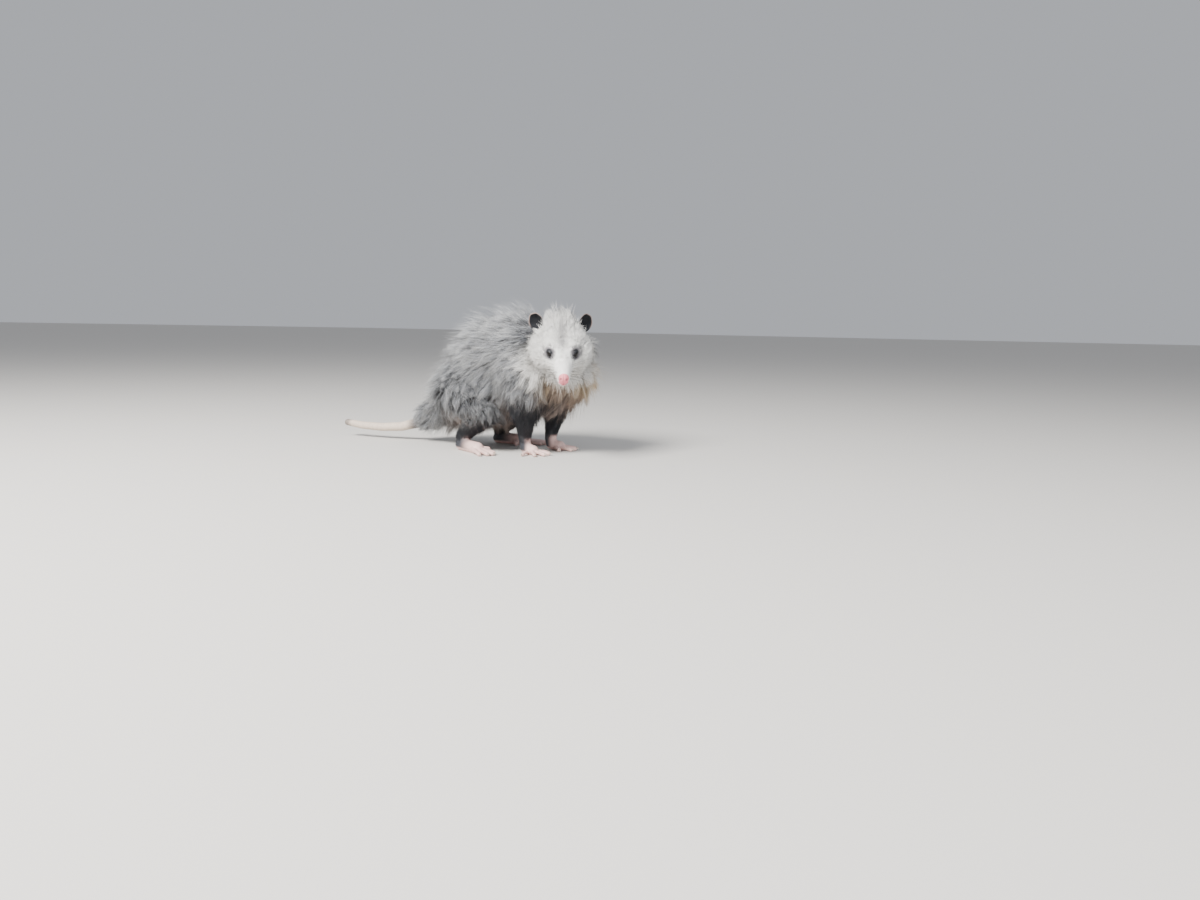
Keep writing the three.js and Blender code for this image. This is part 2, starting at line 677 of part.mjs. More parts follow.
const thighs = [onRight, onLeft].map((place) => HIND_LIMB.slice(0, 3)
  .map((station) => place(point(station))));
const shoulders = [onRight, lowerStep].map((place) => FORE_LIMB.slice(0, 3)
  .map((station) => place(point(station))));
const thighForms = [onRight, onLeft]
  .map((place) => formDistance([massesAlong(HIND_LIMB.slice(0, 3), place)], LOCK_CORE));
const shoulderForms = [onRight, lowerStep]
  .map((place) => formDistance([massesAlong(FORE_LIMB.slice(0, 3), place)], LOCK_CORE));
bodyForms.push(trunkForm, napeForm, throatForm, tailForm, headForm,
  ...thighForms, ...shoulderForms);
const locks = [
  ...locksOver(trunkSpine, trunkForm, LOCKS.trunk),
  ...locksOver(napeSpine, napeForm, LOCKS.nape),
  ...locksOver(throatSpine, throatForm, LOCKS.throat),
  ...locksOver(headSpine, headForm, LOCKS.crown),
  ...locksOver(spineOf(TAIL.slice(0, 3)), tailForm, LOCKS.tail),
  ...thighs.flatMap((spine, i) => locksOver(spine, thighForms[i], LOCKS.thigh)),
  ...shoulders.flatMap((spine, i) => locksOver(spine, shoulderForms[i], LOCKS.shoulder)),
];

// The line of the mouth: a thin slab that only reaches in as far as the lips
const slab = new THREE.BoxGeometry(MOUTH_LENGTH, 80, MOUTH_GAPE);
slab.rotateY(MOUTH_SLOPE).translate(MOUTH_LENGTH / 2 + MOUTH_CORNER, 0, MOUTH_RISE);
slab.applyMatrix4(headFrame);
const behindLips = flesh(headSpine, 12, 12, (p) => headForm(p) + LIP_DEPTH);
const mouth = solid(slab).subtract(solid(behindLips));
const nostrils = [1, -1].map((side) => ellipsoid(
  headPoint(NOSTRIL.ahead, side * NOSTRIL.side, NOSTRIL.rise), NOSTRIL.radii,
));

// The whole body in one piece, before it is parted
const uncut = join([
  solid(trunkBody), solid(nape), solid(throat), solid(headBody), solid(tailBody),
  ...legs, ...Object.values(feet), lids(1), lids(-1), ...locks,
]);
const whole = [...sockets, ...earSlots, mouth, ...nostrils]
  .reduce((body, cut) => body.subtract(cut), uncut)
  .intersect(aboveFloor);

// Each division: the part on its far side, and the rest, a gap apart
const parts = {};
let rest = whole;
function divide(name, near, wide) {
  parts[name] = largest(rest.intersect(near));
  rest = rest.subtract(wide);
}
function divideAt(name, at, normal) {
  const n = normal.clone().normalize();
  divide(
    name,
    halfSpace(at.clone().addScaledVector(n, GAP / 2), n),
    halfSpace(at.clone().addScaledVector(n, -GAP / 2), n),
  );
}
// The haunch or shoulder lies in an ellipsoid, and the leg below it in a box
function limbSpace({ at, radii, leg }, side, grown) {
  const round = ellipsoid(
    new THREE.Vector3(at[0], side * at[1], at[2]), radii.map((r) => r + grown),
  );
  const [x0, x1, y0, y1, top] = leg;
  const box = new THREE.BoxGeometry(x1 - x0 + 2 * grown, y1 - y0 + 2 * grown, top + 20);
  box.translate((x0 + x1) / 2, side * (y0 + y1) / 2, (top - 20) / 2 + grown);
  return round.add(solid(box));
}
function footSpace([x0, x1, y0, y1, top], side, grown) {
  const box = new THREE.BoxGeometry(x1 - x0, y1 - y0, top + 20);
  box.translate((x0 + x1) / 2, side * (y0 + y1) / 2, (top - 20) / 2 + grown);
  return solid(box);
}
// The head lies ahead of a plane behind the ears and above one under the jaw
function headSpace(inset) {
  const back = headPoint(HEAD_FROM[0], 0, HEAD_FROM[1]).addScaledVector(HEAD_CUT, inset);
  const jaw = headPoint(0, 0, JAW_FROM + inset);
  return halfSpace(back, HEAD_CUT).intersect(halfSpace(jaw, upward));
}
for (const [name, side] of [['left', 1], ['right', -1]]) {
  divide(`hindfoot_${name}`, footSpace(HIND_FOOT_SPACE, side, -GAP / 2),
    footSpace(HIND_FOOT_SPACE, side, GAP / 2));
  divide(`forefoot_${name}`, footSpace(FORE_FOOT_SPACE, side, -GAP / 2),
    footSpace(FORE_FOOT_SPACE, side, GAP / 2));
  const knee = (inset, grown) => halfSpace(
    point(KNEE_AT).addScaledVector(KNEE_CUT, inset), KNEE_CUT,
  ).intersect(limbSpace(HAUNCH_SPACE, side, grown));
  divide(`shank_${name}`, knee(GAP / 2, 0), knee(-GAP / 2, GAP));
  divide(`thigh_${name}`, limbSpace(HAUNCH_SPACE, side, 0),
    limbSpace(HAUNCH_SPACE, side, GAP));
  divide(`foreleg_${name}`, limbSpace(SHOULDER_SPACE, side, 0),
    limbSpace(SHOULDER_SPACE, side, GAP));
}
divideAt('nose', headPoint(NOSE_FROM, 0, 0), forward);
divide('head', headSpace(GAP / 2), headSpace(-GAP / 2));
divideAt('neck', point(NECK_AT), NECK_CUT);
divideAt('tail_tip', point(TAIL_TIP_AT), TAIL_TIP_CUT);
divideAt('tail_middle', point(TAIL_MIDDLE_AT), TAIL_MIDDLE_CUT);
divideAt('tail_base', point(TAIL_BASE_AT), TAIL_BASE_CUT);
parts.torso = largest(rest);

const looks = {
  nose: COLORS.nose, head: COLORS.face, neck: COLORS.coat, torso: COLORS.coat,
  tail_base: COLORS.coat, tail_middle: COLORS.tail, tail_tip: COLORS.tail,
  thigh: COLORS.coat, shank: COLORS.leg, foreleg: COLORS.leg,
  hindfoot: COLORS.foot, forefoot: COLORS.foot,
};
const group = new THREE.Group();
function addNode(name, body, color, roughness = 0.9) {
  const mesh = body.getMesh();
  const geometry = new THREE.BufferGeometry();
  geometry.setAttribute('position', new THREE.BufferAttribute(mesh.vertProperties, 3));
  geometry.setIndex(new THREE.BufferAttribute(mesh.triVerts, 1));
  geometry.computeVertexNormals();
  const material = new THREE.MeshStandardMaterial({ color, roughness, metalness: 0 });
  const node = new THREE.Mesh(geometry, material);
  node.name = name;
  group.add(node);
}
for (const [name, body] of Object.entries(parts)) {
  addNode(name, body, looks[name] ?? looks[name.split('_')[0]]);
}
for (const [name, body] of Object.entries(ears)) addNode(`ear_${name}`, body, COLORS.ear);
for (const [i, name] of ['left', 'right'].entries()) {
  addNode(`eye_${name}`, ball(eyes[i].centre, EYE_RADIUS), COLORS.eye, 0.1);
}

// The frame's origin lies under the middle of the body, on the floor
const bounds = new THREE.Box3().setFromObject(group);
const middle = bounds.getCenter(new THREE.Vector3());
group.position.set(-middle.x, -middle.y, -bounds.min.z);

export default group;
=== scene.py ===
"""A Virginia opossum at life size, standing low with its head turned to its right.

The flesh is one field of distance to round masses. The skin is a mesh laid on that field,
and the coat is thousands of thin tapered tufts rooted on the skin along its lie.
Shapes are worked out in millimetres in the animal's own frame: +X to the chest, +Y to its
left, +Z up from the floor.
"""
import math

import bmesh
import bpy
import numpy as np
from mathutils import Matrix, Vector, kdtree


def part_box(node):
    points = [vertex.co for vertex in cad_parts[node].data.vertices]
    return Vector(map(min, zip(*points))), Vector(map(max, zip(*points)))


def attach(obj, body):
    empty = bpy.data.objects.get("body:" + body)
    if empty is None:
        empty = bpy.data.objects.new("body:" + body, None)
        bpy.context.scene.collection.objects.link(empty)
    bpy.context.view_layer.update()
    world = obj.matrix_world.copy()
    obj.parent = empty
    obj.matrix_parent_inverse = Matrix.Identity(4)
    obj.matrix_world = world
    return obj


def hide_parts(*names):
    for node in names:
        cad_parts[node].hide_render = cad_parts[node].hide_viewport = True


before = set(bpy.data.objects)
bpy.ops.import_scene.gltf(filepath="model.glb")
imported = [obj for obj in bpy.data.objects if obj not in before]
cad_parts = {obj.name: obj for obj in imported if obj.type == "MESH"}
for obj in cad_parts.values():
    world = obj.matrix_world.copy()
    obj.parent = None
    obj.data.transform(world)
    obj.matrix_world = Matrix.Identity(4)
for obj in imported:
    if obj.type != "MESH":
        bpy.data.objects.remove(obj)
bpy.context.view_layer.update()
rng = np.random.default_rng(41)
MM = 0.001
BLEND = 9.0
SKIN_SHARE = 0.12

# The head's frame: the point midway between the eyes, and its axes
EYE_MIDPOINT = np.array([185.5, -57.0, 141.0])
TURN, PITCH = math.radians(-54), math.radians(30)
FORWARD = np.array([math.cos(PITCH) * math.cos(TURN), math.cos(PITCH) * math.sin(TURN),
                    -math.sin(PITCH)])
LEFTWARD = np.array([-math.sin(TURN), math.cos(TURN), 0.0])
UPWARD = np.cross(FORWARD, LEFTWARD)
HEAD = np.array([FORWARD, LEFTWARD, UPWARD])
EYE_RADIUS = 4.6
EYE_AT = (-2.2, 15.6, -0.8)
EYE_OUTWARD, EYE_UPWARD = math.radians(40), math.radians(14)
EAR_AT = (-60.0, 33.0, 10.0)
NOSE_FROM = 42.5
# The line of the mouth: its height where it passes MOUTH_MIDDLE, and how it slopes
MOUTH_RISE, MOUTH_CORNER, MOUTH_SLOPE, MOUTH_MIDDLE = -19.0, 5.0, 0.1, 35
NOSTRIL_AT, NOSTRIL_SIZE = (46.2, 3.7, -9.4), (2.4, 1.3, 1.6)
FACE_MIDDLE, FACE_REACH = (15, 0, -8), 60


def in_head(points):
    """From the head's frame (forward, left, up) to the animal's"""
    return EYE_MIDPOINT + np.asarray(points, float) @ HEAD


def head_local(points):
    return (points - EYE_MIDPOINT) @ HEAD.T


def sided(at, side):
    """A place or way given for the left, on the left for 1 and on the right for -1"""
    return np.array([at[0], side * at[1], at[2]], float)


def unit(v):
    return v / np.maximum(np.linalg.norm(v, axis=-1, keepdims=True), 1e-9)


def smooth(low, high, x):
    t = np.clip((x - low) / (high - low), 0, 1)
    return t * t * (3 - 2 * t)


def bell(x, width):
    return np.exp(-(x / width) ** 2)


def mix(a, b, share):
    share = np.asarray(share)[..., None]
    return a * (1 - share) + b * share


# The frame's origin lies under the middle of the model, on the floor: the left eye tells where
eye_low, eye_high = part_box("eye_left")
ORIGIN = in_head(EYE_AT) - np.array((eye_low + eye_high) / 2) / MM


def to_metres(points):
    return (points - ORIGIN) * MM


def to_body(points):
    return points / MM + ORIGIN


def between(values, i, t):
    """The value a share of the way from one station to the next"""
    return values[i] * (1 - t) + values[i + 1] * t


class Chain:
    """Round masses strung along stations of [x, y, z, radius, height over width, coat]

    The coat lies along the stations where lie is 1, and back along them where it is -1.
    """

    def __init__(self, region, rows, lie=-1, blend=BLEND, place=lambda p: p):
        rows = np.array([list(row) + [1.0, 0.0][len(row) - 4:] for row in rows], float)
        self.region, self.lie, self.blend = region, lie, blend
        self.at = place(rows[:, :3])
        self.radius, self.squash, self.coat = rows[:, 3], rows[:, 4], rows[:, 5]
        self.grown = self.radius + SKIN_SHARE * self.coat

    def spans(self, p):
        """Each span's number and axis, with the share along it and the distance of points"""
        for i in range(len(self.at) - 1):
            axis = self.at[i + 1] - self.at[i]
            offset = p - self.at[i]
            t = np.clip(offset @ axis / (axis @ axis), 0, 1)
            offset -= t[:, None] * axis
            offset[:, 1] *= between(self.squash, i, t)
            far = np.sqrt((offset * offset).sum(1))
            yield i, axis, t, far - self.grown[i] * (1 - t) - self.grown[i + 1] * t

    def distance(self, p):
        best = np.full(len(p), np.inf)
        for _, _, _, d in self.spans(p):
            best = np.minimum(best, d)
        return best

    def probe(self, p):
        """Distance, then direction and depth of coat at the nearest span"""
        best, coat = np.full(len(p), np.inf), np.zeros(len(p))
        way = np.zeros((len(p), 3))
        for i, axis, t, d in self.spans(p):
            near = d < best
            best = np.where(near, d, best)
            way[near] = axis / np.linalg.norm(axis)
            coat = np.where(near, between(self.coat, i, t), coat)
        return best, way, coat


TRUNK = [
    [-36, 0, 62, 18, 1.0, 17], [2, 0, 84, 42, 1.1, 18], [46, 0, 110, 59, 1.36, 19],
    [92, 1, 120, 57, 1.36, 19], [130, 3, 117, 43, 1.14, 17],
]
NECK = [[118, 2, 124, 44, 1.1, 19], [150, 0, 150, 31, 1.0, 17]]
THROAT = [[134, 4, 108, 36, 1.0, 15], [160, -6, 114, 27, 1.0, 15],
          [166, -26, 128, 22, 1.0, 12]]
TAIL = [
    [-46, 0, 60, 17, 1, 15], [-80, -4, 41, 11, 1, 12], [-104, -9, 27.5, 7.4, 1, 1.5],
    [-130, -15, 20.5, 6.8, 1, 0.2], [-165, -22, 17.8, 6.2, 1, 0.2],
    [-200, -28.5, 18.8, 5.6, 1, 0.2], [-226, -33, 22, 4.9, 1, 0.2],
]
SKULL = [
    [-50, 0, -7, 26, 1.0, 12], [-30, 0, -9, 25, 1.0, 7], [-8, 0, -10, 19, 1.0, 3],
    [12, 0, -10.5, 13.5, 1.0, 2], [40, 0, -10, 7.2, 1.0, 1],
]
CHEEK = [[-44, 17, -16, 17, 1.0, 10], [-22, 17, -15, 17, 1.0, 7]]
BROW = [[-22, 12, 3, 11, 1.0, 4], [-6, 12.5, 1.5, 7, 1.0, 2]]
JAW = [[-26, 0, -26, 14, 1.0, 6], [8, 0, -22, 8, 1.0, 3], [36, 0, -19.5, 4.6, 1.0, 1]]
HIND_LIMB = [
    [0, 25, 80, 29, 1.0, 15], [26, 36, 69, 25, 1.0, 13], [50, 47, 57, 14, 1.0, 9],
    [14, 46, 20, 9.5, 1.0, 4],
]
FORE_LIMB = [
    [118, 24, 110, 27, 1.0, 15], [112, 31, 80, 18, 1.0, 12], [110, 33, 56, 12, 1.0, 6],
    [104, 23, 17, 7.6, 1.0, 3],
]
# Each foot: heel and ball as [x, y, z, radius], toes as root, tip and radius, and how many
# have a claw; the hind foot's thumb comes last and has none
HIND_FOOT = ([[10, 46, 8.2, 8.2], [50, 60, 6.6, 8.6]], [
    ((50, 68, 5.0), (70, 82, 2.6), 3.1), ((54, 64.5, 5.2), (78, 75, 2.6), 3.2),
    ((56, 60, 5.2), (81, 67.5, 2.6), 3.2), ((55, 55.5, 5.0), (77, 59.5, 2.6), 3.1),
    ((38, 51, 5.4), (50, 36, 3.0), 3.6)], 4)
FORE_FOOT = ([[105, 23, 8, 7.2], [119, 25.5, 5.6, 7.6]], [
    ((114, 31, 4.6), (117, 48, 2.4), 2.6), ((120, 30, 4.8), (133, 42, 2.4), 2.8),
    ((123, 26.5, 4.8), (141, 31.5, 2.4), 2.8), ((122, 22, 4.8), (141, 19.5, 2.4), 2.8),
    ((116, 19, 4.6), (129, 8, 2.4), 2.6)], 5)
MIRROR = np.array([1.0, -1.0, 1.0])
HIND_STEP, FORE_STEP = np.array([-3.0, 0, 0]), np.array([4.0, 12.0, 0])
SWING_FROM, SWING_OVER = 118, 100
PALM_BLEND, TOE_BLEND = 5.0, 1.3
ROOT_SHARE, KNUCKLE_SHARE, TIP_SHARE = 1.1, 0.86, 0.94
KNUCKLE_RISE, TIP_RISE = 0.5, 0.3


def lower_step(p):
    """The left foreleg swings out toward its foot"""
    return p + FORE_STEP * np.clip((SWING_FROM - p[:, 2:]) / SWING_OVER, 0, 1)


def limb_and_foot(region):
    return (HIND_LIMB, HIND_FOOT) if "hind" in region else (FORE_LIMB, FORE_FOOT)


PLACES = {
    "hind_right": lambda p: p * MIRROR, "hind_left": lambda p: p + HIND_STEP,
    "fore_right": lambda p: p * MIRROR, "fore_left": lower_step,
}
chains = [Chain("trunk", TRUNK), Chain("trunk", NECK), Chain("trunk", THROAT),
          Chain("tail", TAIL, 1), Chain("head", SKULL, place=in_head)]
for rows in (CHEEK, BROW):
    for side in (1, -1):
        flank = [[a, side * b, *rest] for a, b, *rest in rows]
        chains.append(Chain("head", flank, place=in_head))
chains.append(Chain("head", JAW, place=in_head))
toes = []
for region, place in PLACES.items():
    limb, (palm, digits, clawed) = limb_and_foot(region)
    chains.append(Chain(region, limb, 1, place=place))
    foot_place = (lambda p: p + FORE_STEP) if region == "fore_left" else place
    chains.append(Chain(region, palm, 1, PALM_BLEND, foot_place))
    for i, (root, tip, radius) in enumerate(digits):
        knuckle = [(a + b) / 2 + rise
                   for a, b, rise in zip(root, tip, (0, 0, KNUCKLE_RISE))]
        rows = [[*root, radius * ROOT_SHARE], [*knuckle, radius * KNUCKLE_SHARE],
                [*tip[:2], tip[2] + TIP_RISE, radius * TIP_SHARE]]
        chains.append(Chain(region, rows, 1, TOE_BLEND, foot_place))
        toes.append((chains[-1].at[0], chains[-1].at[2], i < clawed))

# Each eye: its middle, the way it looks, and the ways across and up its opening
eyes = []
for side in (1, -1):
    look = sided((math.cos(EYE_UPWARD) * math.cos(EYE_OUTWARD),
                  math.cos(EYE_UPWARD) * math.sin(EYE_OUTWARD),
                  math.sin(EYE_UPWARD)), side) @ HEAD
    across = unit(np.cross(UPWARD, look))
    centre = in_head(sided(EYE_AT, side))
    eyes.append((centre, look, across, np.cross(look, across)))


def blended(parts):
    """Distances of chains run softly into one another, each over its own width"""
    total = None
    for d, width in parts:
        if total is None:
            total = d
            continue
        h = np.maximum(width - np.abs(total - d), 0) / width
        total = np.minimum(total, d) - h * h * width / 4
    return total


def cut(d, inside, width):
    """The field with what is inside another one taken away, softly at the edge"""
    h = np.maximum(width - np.abs(d - inside), 0) / width
    return np.maximum(d, inside) + h * h * width / 4


def mouth_height(local):
    """Height over the line of the mouth, which rises a little toward the nose"""
    return local[:, 2] - MOUTH_RISE - MOUTH_SLOPE * (local[:, 0] - MOUTH_MIDDLE)


def nostril(local, side):
    """Distance from a nostril's middle, over its half widths"""
    return np.linalg.norm((local - sided(NOSTRIL_AT, side)) / NOSTRIL_SIZE, axis=1)


# Sockets and lids: radius, distance out and softness of the socket's ball; the lids' ring as
# width, height, radius, distance out, tube, the upper lid's extra tube and step, and softness
SOCKET_RADIUS, SOCKET_OUT, SOCKET_SOFT = 8.0, 8.5, 4.0
LID_WIDE, LID_HIGH, LID_RING, LID_OUT = 1.1, 0.86, EYE_RADIUS * 0.86, EYE_RADIUS * 0.5
LID_TUBE, UPPER_TUBE, UPPER_STEP, LID_SOFT = 1.15, 0.3, 0.25, 1.6
EYE_GAP, EYE_SOFT = 0.1, 0.4
# Grooves and swellings: depth and half width, and where the lips swell from the mouth's line
MOUTH_DEPTH, MOUTH_WIDTH = 1.7, 0.75
LIP_SWELL, LIP_WIDTH, LIP_RISE = 0.55, 1.1, 1.9
NOSE_EDGE_DEPTH, NOSE_EDGE_WIDTH = 0.6, 0.9
NOSE_SPLIT_DEPTH, NOSE_SPLIT_WIDTH = 0.9, 0.55
NOSTRIL_DEPTH, NOSTRIL_SOFT = 1.3, 0.6


def face(p, d):
    """Sockets, lids, nostrils and lips, cut and raised in the field of the head"""
    local = head_local(p)
    ahead, sideways, _ = local.T
    for centre, look, across, rise in eyes:
        offset = p - centre
        ball = SOCKET_RADIUS - np.linalg.norm(offset - SOCKET_OUT * look, axis=1)
        d = cut(d, ball, SOCKET_SOFT)
        a, b, c = offset @ across, offset @ rise, offset @ look
        ring = np.hypot(a / LID_WIDE, b / LID_HIGH) - LID_RING
        tube = LID_TUBE + UPPER_TUBE * smooth(-1, 3, b)
        lid = np.hypot(ring, c - LID_OUT - UPPER_STEP * np.sign(b)) - tube
        d = blended([(d, 0), (lid, LID_SOFT)])
        d = cut(d, EYE_RADIUS + EYE_GAP - np.linalg.norm(offset, axis=1), EYE_SOFT)
    height = mouth_height(local)
    along = smooth(MOUTH_CORNER - 4, MOUTH_CORNER + 8, ahead)
    d = d + MOUTH_DEPTH * along * bell(height, MOUTH_WIDTH)
    d = d - LIP_SWELL * along * bell(np.abs(height) - LIP_RISE, LIP_WIDTH)
    front = smooth(NOSE_FROM - 1, NOSE_FROM + 3, ahead)
    edge = bell(ahead - NOSE_FROM + 1, NOSE_EDGE_WIDTH)
    d = d + NOSE_EDGE_DEPTH * edge * smooth(2, 5, height)
    d = d + NOSE_SPLIT_DEPTH * front * bell(sideways, NOSE_SPLIT_WIDTH) * smooth(1, 3, height)
    for side in (1, -1):
        d = cut(d, (1 - nostril(local, side)) * NOSTRIL_DEPTH, NOSTRIL_SOFT)
    return d


def body_distance(p):
    """The whole skin without the sculpting of the face, closed at the floor"""
    parts = [(chain.distance(p), chain.blend) for chain in chains]
    return np.maximum(blended(parts), -p[:, 2])


def skin_distance(p):
    d = body_distance(p)
    near = np.linalg.norm(p - in_head(FACE_MIDDLE), axis=1) < FACE_REACH
    d[near] = face(p[near], d[near])
    return d


def slope(p, field, step=0.15):
    """A field and its gradient at each point"""
    here = field(p)
    grad = np.stack([field(p + step * np.eye(3)[i]) - here for i in range(3)], 1) / step
    return here, grad


def new_object(name, data):
    piece = bpy.data.objects.new(name, data)
    bpy.context.scene.collection.objects.link(piece)
    return piece


def mesh_from(bm, name):
    mesh = bpy.data.meshes.new(name)
    bm.to_mesh(mesh)
    bm.free()
    return mesh


def read(items, name, width=1, kind=float):
    """One property of a mesh's vertices, edges, loops or polygons"""
    flat = np.empty(len(items) * width, kind)
    items.foreach_get(name, flat)
    return flat.reshape(-1, width) if width > 1 else flat


def move(mesh, points):
    mesh.vertices.foreach_set("co", to_metres(points).ravel())


def applied(piece):
    """The object's mesh with its modifiers made real"""
    graph = bpy.context.evaluated_depsgraph_get()
    mesh = bpy.data.meshes.new_from_object(piece.evaluated_get(graph))
    piece.modifiers.clear()
    piece.data = mesh
    return mesh


# Skin
SKIN_VOXEL = 1.5
# Balls of the head, by middle and radius, where the mesh is made finer
FINE_HEAD = [((0, 0, -5), 24), ((40, 0, -13), 20)]
SPHERE_STEP = 0.22
FIT_TURNS, RELAX_TURNS, RELAX_SHARE = 6, (1, 3), 0.5
FARTHEST_MOVE, LEAST_SLOPE = 3, 0.2


def blob_mesh():
    """Spheres strung along every chain, for the remesh to fuse"""
    bm = bmesh.new()
    for chain in chains:
        for i in range(len(chain.at) - 1):
            length = np.linalg.norm(chain.at[i + 1] - chain.at[i])
            step = SPHERE_STEP * min(chain.grown[i], chain.grown[i + 1])
            for t in np.linspace(0, 1, max(2, int(length / step))):
                radius = between(chain.grown, i, t)
                squash = between(chain.squash, i, t)
                size = Matrix.Diagonal((radius * MM, radius / squash * MM, radius * MM, 1))
                where = Matrix.Translation(Vector(to_metres(between(chain.at, i, t))))
                bmesh.ops.create_icosphere(bm, subdivisions=2, radius=1,
                                           matrix=where @ size)
    return mesh_from(bm, "skin")


def relaxed(points, ends, share):
    """Each point moved a share of the way to the middle of its neighbours"""
    total, count = np.zeros_like(points), np.zeros(len(points))
    for a, b in (ends, ends[::-1]):
        np.add.at(total, a, points[b])
        np.add.at(count, a, 1)
    return points + share * (total / count[:, None] - points)


def make_skin():
    """The skin, fused from spheres and then laid on the field, and its points"""
    piece = new_object("skin", blob_mesh())
    remesh = piece.modifiers.new("fuse", "REMESH")
    remesh.mode = "VOXEL"
    remesh.voxel_size = SKIN_VOXEL * MM
    mesh = applied(piece)
    bm = bmesh.new()
    bm.from_mesh(mesh)
    centres = [(Vector(to_metres(in_head(at))), reach * MM) for at, reach in FINE_HEAD]
    fine = [e for e in bm.edges
            if any((e.verts[0].co - c).length < reach for c, reach in centres)]
    bmesh.ops.subdivide_edges(bm, edges=fine, cuts=1, use_grid_fill=True)
    bmesh.ops.triangulate(bm, faces=[f for f in bm.faces if len(f.verts) > 4])
    bm.to_mesh(mesh)
    bm.free()
    points = to_body(read(mesh.vertices, "co", 3))
    ends = read(mesh.edges, "vertices", 2, int).T
    for turn in range(FIT_TURNS):
        d, grad = slope(points, skin_distance)
        size = np.maximum((grad * grad).sum(1), LEAST_SLOPE)
        far = np.clip(d, -FARTHEST_MOVE, FARTHEST_MOVE)
        points = points - (far / size)[:, None] * grad
        if turn in RELAX_TURNS:
            points = relaxed(points, ends, RELAX_SHARE)
    points[:, 2] = np.maximum(points[:, 2], 0)
    move(mesh, points)
    mesh.shade_smooth()
    mesh.update()
    return piece, points


# Unwrap: each region of the body is a sheet rolled round its own line

# Each region's sheet on the map as [left, bottom, width, height]
SHEETS = {
    "trunk": (0.01, 0.01, 0.60, 0.52), "head": (0.01, 0.55, 0.60, 0.44),
    "tail": (0.64, 0.01, 0.34, 0.12), "hind_left": (0.64, 0.15, 0.34, 0.19),
    "hind_right": (0.64, 0.36, 0.34, 0.19), "fore_left": (0.64, 0.57, 0.34, 0.19),
    "fore_right": (0.64, 0.78, 0.34, 0.19),
}
ALONG_FROM, ALONG_SPAN, ROUND_SPAN = 0.01, 0.98, 0.47
LINES = {
    "trunk": [(-60, 0, 50), (2, 0, 84), (46, 0, 110), (100, 1, 118), (140, 1, 125),
              (168, -20, 134)],
    "head": in_head([(-80, 0, -8), (-30, 0, -10), (10, 0, -13), (54, 0, -13)]),
    "tail": [row[:3] for row in TAIL] + [(-232, -34, 22.6)],
}
for region, place in PLACES.items():
    limb, (_, digits, _) = limb_and_foot(region)
    line = [row[:3] for row in limb] + list(digits[2][:2])
    LINES[region] = place(np.array(line, float))
REGIONS = list(SHEETS)
LINES = {name: np.asarray(line, float) for name, line in LINES.items()}


def region_of(p):
    """Number of the region whose masses are nearest"""
    nearest, found = np.full(len(p), np.inf), np.zeros(len(p), int)
    for chain in chains:
        d = chain.distance(p)
        found = np.where(d < nearest, REGIONS.index(chain.region), found)
        nearest = np.minimum(nearest, d)
    return found


def rolled(p, region):
    """Share along a region's line and angle round it, zero at the top"""
    line = LINES[region]
    runs = np.concatenate([[0], np.cumsum(np.linalg.norm(np.diff(line, axis=0), axis=1))])
    best = np.full(len(p), np.inf)
    share, angle = np.zeros(len(p)), np.zeros(len(p))
    for i in range(len(line) - 1):
        axis = line[i + 1] - line[i]
        reach = np.linalg.norm(axis)
        axis = axis / reach
        t = np.clip((p - line[i]) @ axis / reach, 0, 1)
        offset = p - line[i] - (t * reach)[:, None] * axis
        d = np.linalg.norm(offset, axis=1)
        top = unit(np.array([0, 0, 1.0]) - axis * axis[2]
                   + (np.array([1e-3, 0, 0]) if abs(axis[2]) > 0.99 else 0))
        across = np.cross(axis, top)
        turn = np.arctan2(offset @ across, offset @ top)
        near = d < best
        best = np.where(near, d, best)
        share = np.where(near, (runs[i] + t * reach) / runs[-1], share)
        angle = np.where(near, turn, angle)
    return share, angle


def unwrap(p, regions, centre=None):
    """Map place of each point; with centre, angles are kept next to that point's own"""
    uv = np.zeros((len(p), 2))
    for k, name in enumerate(REGIONS):
        chosen = regions == k
        if not chosen.any():
            continue
        share, angle = rolled(p[chosen], name)
        if centre is not None:
            _, middle = rolled(centre[chosen], name)
            turn = angle - middle
            angle = middle + (turn + math.pi) % (2 * math.pi) - math.pi
        u0, v0, wide, high = SHEETS[name]
        uv[chosen, 0] = u0 + wide * (ALONG_FROM + ALONG_SPAN * share)
        uv[chosen, 1] = v0 + high * (0.5 + ROUND_SPAN * angle / math.pi)
    return np.clip(uv, 0.001, 0.999)


def map_skin(mesh, points):
    loops = read(mesh.loops, "vertex_index", kind=int)
    starts = read(mesh.polygons, "loop_start", kind=int)
    totals = np.diff(np.append(starts, len(loops)))
    middles = np.add.reduceat(points[loops], starts) / totals[:, None]
    regions = np.repeat(region_of(middles), totals)
    uv = unwrap(points[loops], regions, np.repeat(middles, totals, 0))
    mesh.uv_layers.new(name="OFBake").data.foreach_set("uv", uv.ravel())


# Markings, the same for skin and coat
DARK_ROOT = np.array([0.050, 0.046, 0.046])
GREY = np.array([0.195, 0.207, 0.228])
SILVER = np.array([0.80, 0.80, 0.79])
WHITE = np.array([0.86, 0.85, 0.82])
CREAM = np.array([0.56, 0.43, 0.27])
BELLY = np.array([0.30, 0.22, 0.18])
BLACK = np.array([0.026, 0.028, 0.034])
SMUDGE = np.array([0.20, 0.19, 0.20])
PINK = np.array([0.78, 0.24, 0.28])
PALE_PINK = np.array([0.72, 0.50, 0.46])
TAIL_SKIN = np.array([0.60, 0.50, 0.41])
TAIL_DARK = np.array([0.12, 0.105, 0.10])
EAR_BACK = np.array([0.045, 0.036, 0.036])
EAR_EDGE = np.array([0.42, 0.33, 0.30])
CLAW_ROOT = np.array([0.30, 0.22, 0.18])
CLAW_TIP = np.array([0.62, 0.55, 0.46])
